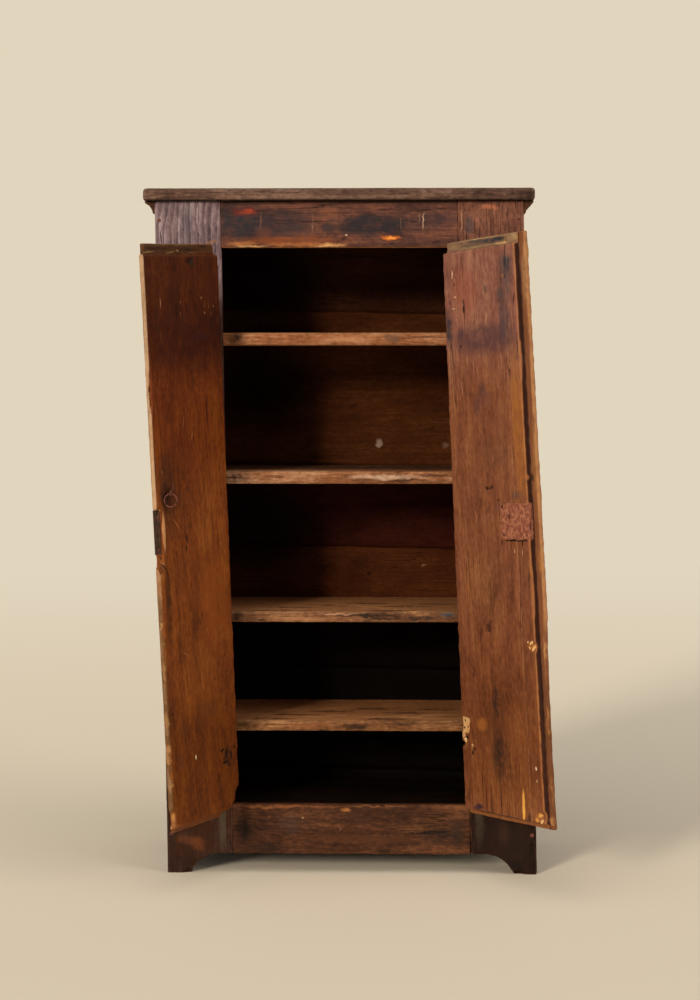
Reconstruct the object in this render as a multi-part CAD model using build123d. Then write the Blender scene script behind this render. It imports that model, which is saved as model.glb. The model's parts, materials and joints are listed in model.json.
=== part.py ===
from build123d import *
import os
from math import cos, hypot, radians, sin

# A trastero: a tall plank cupboard with two doors, four shelves and bracket feet.
# It has racked to the left with age, so upright edges lean while rails and shelves stay level.
# Millimetres, +Z up, the front faces -Y. Until the last step the floor is z = 0, the front of
# the case is y = 0, and x = 0 is the middle of the door opening at the floor.

os.makedirs("parts", exist_ok=True)

# ---- the case ----
opening_width = 582
opening_bottom = 169
case_height = 1650
frieze_height = 115  # from the opening to the top of the case
case_depth = 380
stile_width = 162
stile_thickness = 24
side_thickness = 22
back_thickness = 18
rack = 0.020  # sideways lean of the case, per millimetre of height

tenon_length = 45
tenon_thickness = 10
tenon_shoulder = 15
mortise_end_gap = 2

foot_width = 58
foot_height = 48
foot_curve_run = 70
side_foot_width = 60

top_thickness = 30
top_side_overhang = 27
top_front_overhang = 20
top_corner_radius = 9
worn_edge = 3
cornice_width = 25
cornice_height = 32
cornice_lip = 5
cornice_hollow = 4

# ---- shelves: height of the top face and thickness ----
shelves = {"shelf_1": (1327, 32), "shelf_2": (984, 31), "shelf_3": (638, 27), "shelf_4": (369, 27)}
floor_top_drop = 4  # the cabinet floor lies this far below the top of the bottom rail
floor_thickness = 20
shelf_setback = 14  # from the back of the stiles to the front edge of a shelf
floor_front_gap = 1
board_end_gap = 1
shelf_worn_edge = 2.5
cleat_width = 18
cleat_height = 28
cleat_end_inset = 20

# ---- back boards, half-lapped: height of each seam on the middle line, from the top down ----
back_seams = (1387, 985, 771, 455, 190)
back_bottom = 55
back_seam_slope = 0.023
back_seam_gap = 1
back_lap = 8  # how far the back half of a board reaches down behind the next one

# ---- doors ----
tongue_thickness = 14  # the layer that enters the opening
layer_thickness = 12  # the outer layer, whose lips cover the frame
lip_clearance = 2
door_gap = 3  # at the hinge side and between the doors
top_gap = 16
bottom_gap = 2.5
top_lip = 26
bottom_lip = 13
meeting_lip = 22
meeting_x = -25  # the doors meet on this plumb line
left_end_rise = 4  # the ends of the left door rise towards its free edge
strip_width = 47  # the glued strip along the free edge of the right door
broken_corner = (58, 34)  # what is missing at the lower hinge corner of the left door
broken_turns = ((0.55, 0.18), (0.3, 0.62))  # where the break changes direction, as shares of it

# ---- hinges ----
left_open = 122
right_open = 125
widest_open = 175
hinge_lean = 0.033  # sideways lean of both hinge lines, per millimetre of height
hinge_line_height = 845  # where the offsets below are measured
left_pin_offset = -9.5  # from the edge of the opening towards its middle
right_pin_offset = 1.8
hinge_inset = 182  # from the ends of a tongue to the middle of a hinge
knuckle_radius = 5
pin_radius = 2.5
pin_clearance = 0.05
pin_head_radius = 4
pin_head_height = 2
hinge_height = 66
knuckle_gap = 0.4
leaf_thickness = 2.5
leaf_reach = 52
leaf_end_radius = 8
frame_leaf_reach = 46
hinge_nail_length = 18
leaf_nail_rows = ((0.25, -1), (0.55, 1), (0.85, -1))  # share of the leaf, lower or upper row

# ---- lock and strike ----
lock_height = 872
lock_width = 105
lock_plate_height = 85
plate_thickness = 2
pocket_width = 92
pocket_height = 62
pocket_depth = 6
bolt_height = 18
bolt_thickness = 4.5
bolt_length = 84
bolt_drop = 11  # from the middle of the lock to the middle of the bolt
bolt_travel = 10
bolt_clearance = 0.3
talon_width = 10
talon_depth = 5
stud_radius = 2
stud_inset = 50  # from the free edge of the door
keyhole_inset = 74
keyhole_rise = 11.5
keyhole_radius = 2.8
keyhole_slot_width = 3.4
keyhole_slot_drop = 8
old_hole_inset = 88
old_hole_drop = 7
old_hole_radius = 1.6
spring_thickness = 1
spring_foot = 14
strike_height = 104
strike_width = 14
strike_floor = 10  # depth of the strike recess below the inner face
strike_split = 9  # how much wider the recess has split open at its lower end
strike_split_height = 30

# ---- ring on the left door ----
staple_inset = 64  # from the free edge
staple_height = 977
staple_depth = 20
staple_neck = 5
wire_radius = 1.75
eye_inset = 41.5
eye_height = 958.5
eye_stand = 12.5  # from the face of the door to the middle of the eye
eye_radius = 4.1
ring_radius = 15.25
ring_turn = 35  # from the face of the door to the plane of the ring

# ---- nails ----
nail_head = 8
nail_head_height = 1.4
nail_shank = 3
small_head = 5.5
small_shank = 2.2
stile_nail_length = 48
stile_nail_rows = 6
top_nail_length = 50
top_nail_rows = 3
top_nail_inset = 60
back_nail_length = 40
back_nail_shares = (0.25, 0.75)  # of the height of a board
cleat_nail_length = 34
cleat_nail_inset = 60
shelf_nail_length = 44
shelf_nail_inset = 40
lock_nail_length = 16
strike_nail_length = 18
lock_nail_inset = 9
catch_rise = 8  # of the catch nail above the lips of the doors
catch_stand = 6
catch_length = 26
catch_offset = -9  # from the middle of the frieze

# ---- values that follow ----
half_opening = opening_width / 2
opening_top = case_height - frieze_height
half_case = half_opening + stile_width
beyond = 2 * half_case  # farther out than any piece of the case
inner_face = tongue_thickness - lip_clearance  # of a closed door, as y
outer_face = -lip_clearance - layer_thickness
tongue_low = opening_bottom + bottom_gap
tongue_high = opening_top - top_gap
left_free = meeting_x - door_gap / 2
right_free = meeting_x + door_gap / 2
pin_y = outer_face - knuckle_radius
shelf_front = stile_thickness + shelf_setback
inside_back = case_depth - back_thickness
hinge_heights = {"lower": tongue_low + hinge_inset, "upper": tongue_high - hinge_inset}
LEFT, RIGHT = -1, 1


# ---- helpers ----
def lean(z):
    """How far the racked case has moved sideways at a height."""
    return -rack * z


def slab(outline, front, thickness):
    """A flat piece with an outline in X and Z, running back from its front face."""
    wire = Wire.make_polygon([(x, front, z) for x, z in outline], close=True)
    return extrude(Face(wire), thickness, dir=(0, 1, 0))


def outlined(*lines):
    """The face inside a closed run of lines and arcs."""
    return Face(Wire([edge for line in lines for edge in line.edges()]))


def racked(left, right, low, high, front, thickness):
    """A board with level ends whose side edges lean with the case."""
    corners = [
        (left + lean(low), low),
        (right + lean(low), low),
        (right + lean(high), high),
        (left + lean(high), high),
    ]
    return slab(corners, front, thickness)


def block(x, y, z):
    """A straight box between two values on each axis."""
    middle = Pos((x[0] + x[1]) / 2, (y[0] + y[1]) / 2, (z[0] + z[1]) / 2)
    return middle * Box(abs(x[1] - x[0]), abs(y[1] - y[0]), abs(z[1] - z[0]))


def spread(start, end, count):
    """Evenly spaced values from start to end."""
    return [start + (end - start) * i / (count - 1) for i in range(count)]


def nail(point, way, length, head=nail_head, shank=nail_shank):
    """A wrought nail with a square head lying on the surface at a point."""
    frame = Plane(origin=point, z_dir=way)
    top = frame * Pos(0, 0, -nail_head_height / 2) * Box(head, head, nail_head_height)
    return top + frame * Pos(0, 0, length / 2) * Box(shank, shank, length)


def small_nail(point, way, length):
    return nail(point, way, length, small_head, small_shank)


# ---- nail places ----
def stile_nails(side):
    """Nails through a stile into the front edge of the side panel, driven in flush."""
    rows = spread(2 * foot_height, case_height - foot_height, stile_nail_rows)
    x = side * (half_case - side_thickness / 2)
    places = [(x + lean(z), nail_head_height, z) for z in rows]
    return [nail(place, (0, 1, 0), stile_nail_length) for place in places]


def top_nails():
    """Nails through the top into the two side panels, driven in flush."""
    rows = spread(top_nail_inset, case_depth - top_nail_inset, top_nail_rows)
    x = half_case - side_thickness / 2
    high = case_height + top_thickness - nail_head_height
    places = [(side * x + lean(high), y, high) for side in (LEFT, RIGHT) for y in rows]
    return [nail(place, (0, 0, -1), top_nail_length) for place in places]


def back_levels():
    """The lower and upper height of each back board on the middle line."""
    lows = (*back_seams, back_bottom)
    highs = (case_height, *back_seams)
    return list(zip(lows, highs))


def back_nails():
    """Two nails through each end of each back board into the side panels, driven in flush."""
    places = []
    for low, high in back_levels():
        for share in back_nail_shares:
            for side in (LEFT, RIGHT):
                x = side * (half_case - side_thickness / 2)
                z = low + (high - low) * share - back_seam_slope * x
                places.append((x + lean(z), case_depth - nail_head_height, z))
    return [nail(place, (0, -1, 0), back_nail_length) for place in places]


def board_tops():
    """Top height and thickness of every shelf and of the cabinet floor."""
    return [*shelves.values(), (opening_bottom - floor_top_drop, floor_thickness)]


def cleat_nails(side):
    """Nails through each cleat into the side panel."""
    places = []
    for top, thickness in board_tops():
        z = top - thickness - cleat_height / 2
        x = side * (half_case - side_thickness - cleat_width) + lean(z)
        for y in (shelf_front + cleat_nail_inset, inside_back - cleat_nail_inset):
            places.append((x, y, z))
    return [small_nail(place, (side, 0, 0), cleat_nail_length) for place in places]


def shelf_nails(side):
    """Nails through the ends of the boards into the cleats below."""
    places = []
    for top, _ in board_tops():
        x = side * (half_case - side_thickness - cleat_width / 2) + lean(top)
        for y in (shelf_front + shelf_nail_inset, inside_back - shelf_nail_inset):
            places.append((x, y, top))
    return [small_nail(place, (0, 0, -1), shelf_nail_length) for place in places]


# ---- the case ----
def arch(near, far, place, way):
    """Cutter for the hollow between two bracket feet; place turns (run, z) into a point."""
    radius = (foot_curve_run**2 + foot_height**2) / (2 * foot_height)
    half = hypot(foot_curve_run, foot_height) / 2
    bulge = radius - (radius**2 - half**2) ** 0.5
    across = foot_height / (2 * half) * bulge
    up = foot_curve_run / (2 * half) * bulge
    middle_run = foot_curve_run / 2 - across
    middle_z = foot_height / 2 + up
    left_arc = ThreePointArc(
        place(near, 0), place(near + middle_run, middle_z), place(near + foot_curve_run, foot_height)
    )
    right_arc = ThreePointArc(
        place(far - foot_curve_run, foot_height), place(far - middle_run, middle_z), place(far, 0)
    )
    roof = Line(left_arc @ 1, right_arc @ 0)
    below = Polyline(
        right_arc @ 1, place(far, -foot_height), place(near, -foot_height), left_arc @ 0
    )
    return extrude(outlined(left_arc, roof, right_arc, below), 2 * beyond, dir=way)


def front_arch():
    toe = half_case - foot_width

    def place(run, z):
        return (run, -beyond, z)

    return arch(-toe, toe, place, (0, 1, 0))


def side_arch():
    far = case_depth - side_foot_width

    def place(run, z):
        return (-beyond, run, z)

    return arch(side_foot_width, far, place, (1, 0, 0))


def tenon(low, high, end):
    """The hidden tongues at both ends of a rail, with a length beyond the shoulders."""
    front = (stile_thickness - tenon_thickness) / 2
    reach = half_opening + end
    return racked(-reach, reach, low + tenon_shoulder, high - tenon_shoulder, front, tenon_thickness)


def rail(low, high):
    """A rail between the stiles with a tenon at each end."""
    bar = racked(-half_opening, half_opening, low, high, 0, stile_thickness)
    return bar + tenon(low, high, tenon_length)


def stile(side):
    """A corner upright that ends in a bracket foot."""
    edges = sorted((side * half_opening, side * half_case))
    board = racked(*edges, 0, case_height, 0, stile_thickness)
    for low, high in ((foot_height, opening_bottom), (opening_top, case_height)):
        board -= tenon(low, high, tenon_length + mortise_end_gap)
    board -= front_arch()
    return board - stile_nails(side) - frame_leaf_nails(side)


def side_panel(side):
    """A side plank from floor to top with feet at both corners."""
    edges = sorted((side * half_case, side * (half_case - side_thickness)))
    depth = inside_back - stile_thickness
    board = racked(*edges, 0, case_height, stile_thickness, depth) - side_arch()
    return board - stile_nails(side) - top_nails() - back_nails() - cleat_nails(side)


def top_board():
    """The overhanging top with worn corners."""
    half = half_case + top_side_overhang
    middle = lean(case_height)
    board = block(
        (middle - half, middle + half),
        (-top_front_overhang, case_depth),
        (case_height, case_height + top_thickness),
    )
    board = fillet(board.edges().filter_by(Axis.Z).group_by(Axis.Y)[0], top_corner_radius)
    board = fillet(board.faces().sort_by(Axis.Z)[-1].edges(), worn_edge)
    return board - top_nails()


def cornice_moulding(side):
    """A cove under the overhang of the top, along one side of the case."""
    low = case_height - cornice_height

    def at(out, z):
        return (side * (half_case + out) + lean(z), 0, z)

    outer = side * (half_case + cornice_width) + lean(case_height)
    lip_foot = (outer, 0, case_height - cornice_lip)
    bottom = at(cornice_lip, low)
    middle = (Vector(bottom) + Vector(lip_foot)) / 2 + Vector(-side, 0, 1) * cornice_hollow
    cove = ThreePointArc(bottom, middle, lip_foot)
    rest = Polyline(lip_foot, (outer, 0, case_height), at(0, case_height), at(0, low), bottom)
    return extrude(outlined(cove, rest), case_depth, dir=(0, 1, 0))


def shelf(top, thickness):
    """A shelf between the side panels, with a worn front edge."""
    reach = half_case - side_thickness
    depth = inside_back - board_end_gap - shelf_front
    board = racked(-reach, reach, top - thickness, top, shelf_front, depth)
    front_edges = board.edges().filter_by(GeomType.LINE).group_by(Axis.Y)[0]
    long_edges = front_edges.sort_by(Edge.length)[-2:]
    board = fillet(long_edges, shelf_worn_edge)
    return board - shelf_nails(LEFT) - shelf_nails(RIGHT)


def cabinet_floor():
    reach = half_case - side_thickness
    front = stile_thickness + floor_front_gap
    top = opening_bottom - floor_top_drop
    depth = inside_back - board_end_gap - front
    board = racked(-reach, reach, top - floor_thickness, top, front, depth)
    return board - shelf_nails(LEFT) - shelf_nails(RIGHT)


def cleats(side):
    """The battens on a side panel that carry the boards."""
    outer = side * (half_case - side_thickness)
    edges = sorted((outer, outer - side * cleat_width))
    depth = inside_back - board_end_gap - shelf_front - 2 * cleat_end_inset
    battens = []
    for top, thickness in board_tops():
        z = top - thickness
        batten = racked(*edges, z - cleat_height, z, shelf_front + cleat_end_inset, depth)
        battens.append(batten - cleat_nails(side) - shelf_nails(side))
    return battens


def back_layer(low, high, drop, front):
    """One half of the thickness of a back board; its seams fall to the right."""
    gap = back_seam_gap / 2
    corners = []
    for side, z in ((LEFT, low), (RIGHT, low), (RIGHT, high), (LEFT, high)):
        x = side * half_case
        if z in back_seams:
            z += (gap if z == low else -gap) - back_seam_slope * x - drop
        corners.append((x + lean(z), z))
    return slab(corners, front, back_thickness / 2)


def back_board(low, high):
    """One of the level planks nailed over the back, lapped behind the plank below it."""
    front_half = back_layer(low, high, 0, inside_back)
    back_half = back_layer(low, high, back_lap, inside_back + back_thickness / 2)
    return front_half + back_half - back_nails()


def catch_nail():
    """A nail left standing in the frieze just above the doors."""
    z = tongue_high + top_lip + catch_rise
    return small_nail((catch_offset + lean(z), -catch_stand, z), (0, 1, 0), catch_length)


def frieze():
    return rail(opening_top, case_height) - catch_nail()


# ---- hinges, in a frame whose z axis is the pin, with the door closed ----
def opening_edge(side, z):
    return side * half_opening + lean(z)


def pin_point(side, z):
    """A point on the hinge line of a door."""
    offset = left_pin_offset if side == LEFT else right_pin_offset
    start = opening_edge(side, hinge_line_height) - side * offset
    return (start - hinge_lean * (z - hinge_line_height), pin_y, z)


def hinge_axis(side):
    return Axis(pin_point(side, hinge_line_height), (-hinge_lean, 0, 1))


def hinge_frame(side, z):
    """Place of a hinge; its local x points from the pin towards the middle of the opening."""
    return Plane(
        origin=pin_point(side, z), x_dir=(-side, 0, -side * hinge_lean), z_dir=(-hinge_lean, 0, 1)
    )


def local_y(side, y):
    """Closed y as the local y of a hinge frame, which turns over on the right door."""
    return -side * (y - pin_y)


def local_block(side, x, y, z):
    return block(x, sorted((local_y(side, y[0]), local_y(side, y[1]))), z)


def pin_bore():
    return Cylinder(pin_radius + pin_clearance, 2 * hinge_height)


def stile_edge(side, z):
    """Local x of the edge of the opening beside a hinge."""
    return side * (pin_point(side, z)[0] - opening_edge(side, z))


def door_leaf_ends(side, z):
    """Local x of the ends of the plate on the door, clear of the frame knuckles."""
    start = max(stile_edge(side, z) + door_gap, knuckle_radius + door_gap / 2)
    return (start, start + leaf_reach)


def frame_riser(side, z):
    """Local x of the outer side of the step that takes the frame leaf back to the stile."""
    return min(-knuckle_radius, stile_edge(side, z) - door_gap)


def leaf_nail_points(side, z, ends, y):
    """Three nails along a leaf, as points in the closed case."""
    length = ends[1] - ends[0]
    frame = hinge_frame(side, z)
    points = []
    for share, row in leaf_nail_rows:
        local = Vector(ends[0] + share * length, local_y(side, y), row * hinge_height / 4)
        points.append(frame.from_local_coords(local))
    return points


def door_leaf_nails(side):
    """Nails through both door leaves into the outer face of a closed door."""
    nails = []
    for z in hinge_heights.values():
        points = leaf_nail_points(side, z, door_leaf_ends(side, z), outer_face - leaf_thickness)
        nails += [small_nail(point, (0, 1, 0), hinge_nail_length) for point in points]
    return nails


def frame_leaf_nails(side):
    """Nails through both frame leaves into the front of a stile."""
    nails = []
    for z in hinge_heights.values():
        inner = frame_riser(side, z) - leaf_thickness
        ends = (inner, inner - frame_leaf_reach)
        points = leaf_nail_points(side, z, ends, -leaf_thickness)
        nails += [small_nail(point, (0, 1, 0), hinge_nail_length) for point in points]
    return nails


def door_leaf(side, z):
    """The leaf on the outer face of a door, with the middle knuckle."""
    knuckle = hinge_height / 3 - knuckle_gap
    half = hinge_height / 2
    start, end = door_leaf_ends(side, z)
    depth = (outer_face - leaf_thickness, outer_face)
    neck = local_block(side, (0, start + leaf_end_radius), depth, (-knuckle / 2, knuckle / 2))
    plate = local_block(side, (start, end), depth, (-half, half))
    plate = fillet(plate.edges().filter_by(Axis.Y).group_by(Axis.X)[-1], leaf_end_radius)
    leaf = neck + plate + Cylinder(knuckle_radius, knuckle)
    return hinge_frame(side, z) * (leaf - pin_bore()) - door_leaf_nails(side)


def frame_leaf(side, z):
    """The leaf on a stile, stepped forward to the two outer knuckles."""
    knuckle = hinge_height / 3 - knuckle_gap
    riser = frame_riser(side, z)
    half = hinge_height / 2
    leaf = local_block(
        side, (riser, riser - leaf_thickness), (pin_y + leaf_thickness / 2, 0), (-half, half)
    )
    plate = local_block(
        side,
        (riser - leaf_thickness, riser - leaf_thickness - frame_leaf_reach),
        (-leaf_thickness, 0),
        (-half, half),
    )
    leaf += fillet(plate.edges().filter_by(Axis.Y).group_by(Axis.X)[0], leaf_end_radius)
    for way in (-1, 1):
        ends = sorted((way * half, way * (half - knuckle)))
        arm = local_block(
            side,
            (riser - leaf_thickness, 0),
            (pin_y - leaf_thickness / 2, pin_y + leaf_thickness / 2),
            ends,
        )
        leaf += arm + Pos(0, 0, sum(ends) / 2) * Cylinder(knuckle_radius, knuckle)
    return hinge_frame(side, z) * (leaf - pin_bore()) - frame_leaf_nails(side)


def hinge_pin(side, z):
    """A headed pin that hangs in the upper knuckle."""
    shaft = Cylinder(pin_radius, hinge_height + pin_head_height)
    head = Pos(0, 0, (hinge_height + pin_head_height) / 2) * Cylinder(pin_head_radius, pin_head_height)
    return hinge_frame(side, z) * (shaft + head)


# ---- doors, as they lie when closed ----
def swing(piece, side):
    """Carry a piece from the closed door to the open door."""
    turn = -left_open if side == LEFT else right_open
    return piece.rotate(hinge_axis(side), turn)


def door_layer(side, free, low_lip, high_lip, front, thickness):
    """One layer of a door; its hinge edge leans with the stile, its free edge is plumb."""
    rise = left_end_rise if side == LEFT else 0
    low = tongue_low - low_lip
    high = tongue_high + high_lip

    def hinge_edge(z):
        return opening_edge(side, z) - side * door_gap

    corners = [
        (hinge_edge(low), low),
        (free, low + rise),
        (free, high),
        (hinge_edge(high), high - rise),
    ]
    return slab(corners, front, thickness)


def whole_door(side):
    """A plank whose edges are rebated to leave the lips of the outer layer."""
    free = left_free if side == LEFT else right_free
    outer = door_layer(side, free - meeting_lip, bottom_lip, top_lip, outer_face, layer_thickness)
    tongue = door_layer(side, free, 0, 0, -lip_clearance, tongue_thickness)
    return outer + tongue


def left_door_plank():
    """The left plank, rebated under the lip of the other door, with a broken lower corner."""
    rebate = block(
        (left_free - meeting_lip, left_free + door_gap),
        (outer_face, 0),
        (0, case_height),
    )
    corner_x = opening_edge(LEFT, tongue_low) + door_gap
    across, up = broken_corner
    start = (corner_x - across, tongue_low - up)
    broken = slab(
        [
            start,
            (corner_x + across, tongue_low - up),
            (corner_x + across, tongue_low),
            *[(corner_x + across * out, tongue_low + up * rise) for out, rise in broken_turns],
            (corner_x, tongue_low + up),
            (corner_x - across, tongue_low + up),
        ],
        outer_face,
        layer_thickness + tongue_thickness,
    )
    door = whole_door(LEFT) - rebate - broken - strike_recess() - staple_wire()
    return door - strike_nails() - door_leaf_nails(LEFT)


def right_door_half(strip):
    """The right plank, or the strip that is glued to it along the free edge."""
    seam = right_free + strip_width
    reach = (seam - beyond, seam) if strip else (seam, seam + beyond)
    keep = block(reach, (outer_face, inner_face), (0, case_height))
    door = (whole_door(RIGHT) & keep) - lock_recess()
    return door - lock_nails() - door_leaf_nails(RIGHT)


# ---- lock, in the closed right door ----
def lock_levels(height, drop=0):
    middle = lock_height - drop
    return (middle - height / 2, middle + height / 2)


def lock_plate_blank():
    """The plate let into the inner face, with a selvage bent over the free edge."""
    face = block(
        (right_free, right_free + lock_width),
        (inner_face - plate_thickness, inner_face),
        lock_levels(lock_plate_height),
    )
    selvage = block(
        (right_free, right_free + plate_thickness),
        (-lip_clearance, inner_face),
        lock_levels(lock_plate_height),
    )
    return face + selvage


def pocket_front():
    return inner_face - plate_thickness - pocket_depth


def lock_recess():
    """The space for the plate and, below it, the pocket for the works."""
    pocket = block(
        (right_free + plate_thickness, right_free + pocket_width),
        (pocket_front(), inner_face - plate_thickness),
        lock_levels(pocket_height),
    )
    return lock_plate_blank() + pocket


def face_hole(inset, z, radius):
    """A round hole through the lock plate."""
    drill = Rot(90, 0, 0) * Cylinder(radius, 4 * plate_thickness)
    return Pos(right_free + inset, inner_face - plate_thickness / 2, z) * drill


def bolt_front():
    return pocket_front() + (pocket_depth - bolt_thickness) / 2


def lock_plate():
    """The lock plate with its keyhole, an old hole and the slot for the bolt."""
    key_z = lock_height + keyhole_rise
    key_x = right_free + keyhole_inset
    slot = block(
        (key_x - keyhole_slot_width / 2, key_x + keyhole_slot_width / 2),
        (inner_face - 2 * plate_thickness, inner_face + plate_thickness),
        (key_z - keyhole_slot_drop, key_z),
    )
    bolt_slot = block(
        (right_free - plate_thickness, right_free + plate_thickness),
        (bolt_front() - bolt_clearance, bolt_front() + bolt_thickness + bolt_clearance),
        lock_levels(bolt_height + 2 * bolt_clearance, bolt_drop),
    )
    plate = lock_plate_blank() - slot - bolt_slot
    plate -= face_hole(keyhole_inset, key_z, keyhole_radius)
    plate -= face_hole(old_hole_inset, lock_height - old_hole_drop, old_hole_radius)
    return plate - lock_nails()


def lock_nails():
    """One nail in each corner of the lock plate."""
    low, high = lock_levels(lock_plate_height - 2 * lock_nail_inset)
    columns = (right_free + lock_nail_inset, right_free + lock_width - lock_nail_inset)
    places = [(x, inner_face, z) for x in columns for z in (low, high)]
    return [small_nail(place, (0, -1, 0), lock_nail_length) for place in places]


def stud_x():
    return right_free + stud_inset


def lock_stud():
    """The stud on the back of the plate that guides the bolt."""
    middle = pocket_front() + pocket_depth / 2
    stud = Rot(90, 0, 0) * Cylinder(stud_radius, pocket_depth)
    return Pos(stud_x(), middle, lock_height - bolt_drop) * stud


def lock_bolt():
    """The bolt, drawn back flush with the free edge, slotted for the stud and cut for the key."""
    start = right_free + bolt_clearance
    back = bolt_front()
    bar = block(
        (start, start + bolt_length),
        (back, back + bolt_thickness),
        lock_levels(bolt_height, bolt_drop),
    )
    room = stud_radius + bolt_clearance
    slot = block(
        (stud_x() - room, stud_x() + bolt_travel + room),
        (back, back + bolt_thickness),
        (lock_height - bolt_drop - room, lock_height - bolt_drop + room),
    )
    top = lock_levels(bolt_height, bolt_drop)[1]
    key_x = right_free + keyhole_inset
    talon = block(
        (key_x - talon_width / 2, key_x + talon_width / 2),
        (back, back + bolt_thickness),
        (top - talon_depth, top),
    )
    return bar - slot - talon


def lock_spring():
    """A bent leaf spring, footed on the selvage, that bears on the top edge of the bolt."""
    foot_x = right_free + plate_thickness
    high = lock_levels(pocket_height)[1] - spring_thickness
    bolt_top = lock_levels(bolt_height, bolt_drop)[1] + bolt_clearance
    end_x = stud_x() + talon_width / 2
    thick = spring_thickness
    outline = [
        (foot_x, high - spring_foot),
        (foot_x + thick, high - spring_foot),
        (foot_x + thick, high - thick),
        (end_x - talon_width, bolt_top),
        (end_x, bolt_top + thick),
        (end_x, bolt_top + 2 * thick),
        (end_x - talon_width, bolt_top + 1.5 * thick),
        (foot_x + 2 * thick, high),
        (foot_x, high),
    ]
    return slab(outline, bolt_front(), bolt_thickness)


# ---- strike, in the closed left door ----
def strike_ends():
    return lock_levels(strike_height)


def strike_recess():
    """The hollow in the free edge that the bolt enters, split wider at its lower end."""
    low, high = strike_ends()
    wall = left_free - strike_width
    outline = [
        (left_free + door_gap, high),
        (wall, high),
        (wall, low),
        (wall - strike_split, low - strike_split_height),
        (left_free + door_gap, low - strike_split_height / 2),
    ]
    return slab(outline, inner_face - strike_floor, strike_floor)


def strike_plate():
    """An angle of iron in the hollow, with its top end curled up."""
    low, high = strike_ends()
    wall = left_free - strike_width
    floor = inner_face - strike_floor
    leg_top = inner_face - plate_thickness
    flat = block((wall, left_free), (floor, floor + plate_thickness), (low, high))
    leg = block((wall, wall + plate_thickness), (floor, leg_top), (low, high))
    curl = block((wall, left_free - plate_thickness), (floor, leg_top), (high - plate_thickness, high))
    return flat + leg + curl - strike_nails()


def strike_nails():
    """Two nails through the upright leg of the strike into the plank."""
    low, high = strike_ends()
    y = inner_face - strike_floor / 2
    x = left_free - strike_width + plate_thickness
    rows = (low + lock_nail_inset, high - 2 * lock_nail_inset)
    return [small_nail((x, y, z), (-1, 0, 0), strike_nail_length) for z in rows]


# ---- ring, on the inner face of the left door ----
def eye_point():
    """Middle of the eye on the closed door."""
    return Vector(left_free - eye_inset, inner_face + eye_stand, eye_height)


def ring_way():
    """Level direction of the plane of the ring on the closed door."""
    return Vector(cos(radians(ring_turn)), -sin(radians(ring_turn)), 0)


def staple_wire():
    """A wire driven through the door and bent over towards the ring."""
    start = Vector(left_free - staple_inset, inner_face, staple_height)
    outward = Vector(0, 1, 0)
    neck = start + outward * staple_neck
    reach = eye_point() - neck
    end = eye_point() - reach.normalized() * eye_radius
    path = FilletPolyline(start - outward * staple_depth, neck, end, radius=staple_neck)
    return sweep(Plane(origin=path @ 0, z_dir=path % 0) * Circle(wire_radius), path)


def staple_eye():
    """The eye that holds the ring."""
    frame = Plane(origin=eye_point(), z_dir=ring_way())
    return frame * Torus(eye_radius, wire_radius)


def ring_staple():
    return staple_wire() + staple_eye()


def hung_ring():
    """The ring, plumb under the eye of the open door."""
    eye = swing(Vertex(*eye_point()), LEFT).center()
    way = ring_way().rotate(Axis.Z, -left_open)
    frame = Plane(origin=eye - Vector(0, 0, ring_radius), x_dir=way, z_dir=way.cross(Vector(0, 0, 1)))
    return frame * Torus(ring_radius, wire_radius)


# ---- all nodes, in the rest pose: both doors open ----
def build():
    """Every piece by name."""
    pieces = {
        "left_stile": stile(LEFT),
        "right_stile": stile(RIGHT),
        "frieze_rail": frieze(),
        "bottom_rail": rail(foot_height, opening_bottom),
        "left_side_panel": side_panel(LEFT),
        "right_side_panel": side_panel(RIGHT),
        "top_board": top_board(),
        "left_cornice_moulding": cornice_moulding(LEFT),
        "right_cornice_moulding": cornice_moulding(RIGHT),
        "cabinet_floor": cabinet_floor(),
        "left_shelf_cleats": cleats(LEFT),
        "right_shelf_cleats": cleats(RIGHT),
        "stile_nails": stile_nails(LEFT) + stile_nails(RIGHT),
        "top_nails": top_nails(),
        "back_nails": back_nails(),
        "cleat_nails": cleat_nails(LEFT) + cleat_nails(RIGHT),
        "shelf_nails": shelf_nails(LEFT) + shelf_nails(RIGHT),
        "catch_nail": catch_nail(),
        "left_hinge_frame_nails": frame_leaf_nails(LEFT),
        "right_hinge_frame_nails": frame_leaf_nails(RIGHT),
    }
    for name, (top, thickness) in shelves.items():
        pieces[name] = shelf(top, thickness)
    for number, (low, high) in enumerate(back_levels(), start=1):
        pieces[f"back_board_{number}"] = back_board(low, high)
    left_pieces = {
        "left_door_plank": left_door_plank(),
        "strike_plate": strike_plate(),
        "strike_nails": strike_nails(),
        "ring_staple": ring_staple(),
        "left_hinge_door_nails": door_leaf_nails(LEFT),
    }
    right_pieces = {
        "right_door_plank": right_door_half(strip=False),
        "right_door_meeting_strip": right_door_half(strip=True),
        "lock_plate": lock_plate(),
        "lock_stud": lock_stud(),
        "lock_spring": lock_spring(),
        "lock_nails": lock_nails(),
        "lock_bolt": lock_bolt(),
        "right_hinge_door_nails": door_leaf_nails(RIGHT),
    }
    for side, word, hung in ((LEFT, "left", left_pieces), (RIGHT, "right", right_pieces)):
        for level, z in hinge_heights.items():
            pieces[f"{word}_{level}_hinge_frame_leaf"] = frame_leaf(side, z)
            pieces[f"{word}_{level}_hinge_pin"] = hinge_pin(side, z)
            hung[f"{word}_{level}_hinge_door_leaf"] = door_leaf(side, z)
        for name, piece in hung.items():
            group = piece if isinstance(piece, list) else [piece]
            pieces[name] = [swing(item, side) for item in group]
    pieces["pull_ring"] = hung_ring()
    return pieces


def solids_of(piece):
    """The solids of one node, whether it is one piece or a group."""
    group = piece if isinstance(piece, list) else [piece]
    return [solid for item in group for solid in item.solids()]


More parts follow.
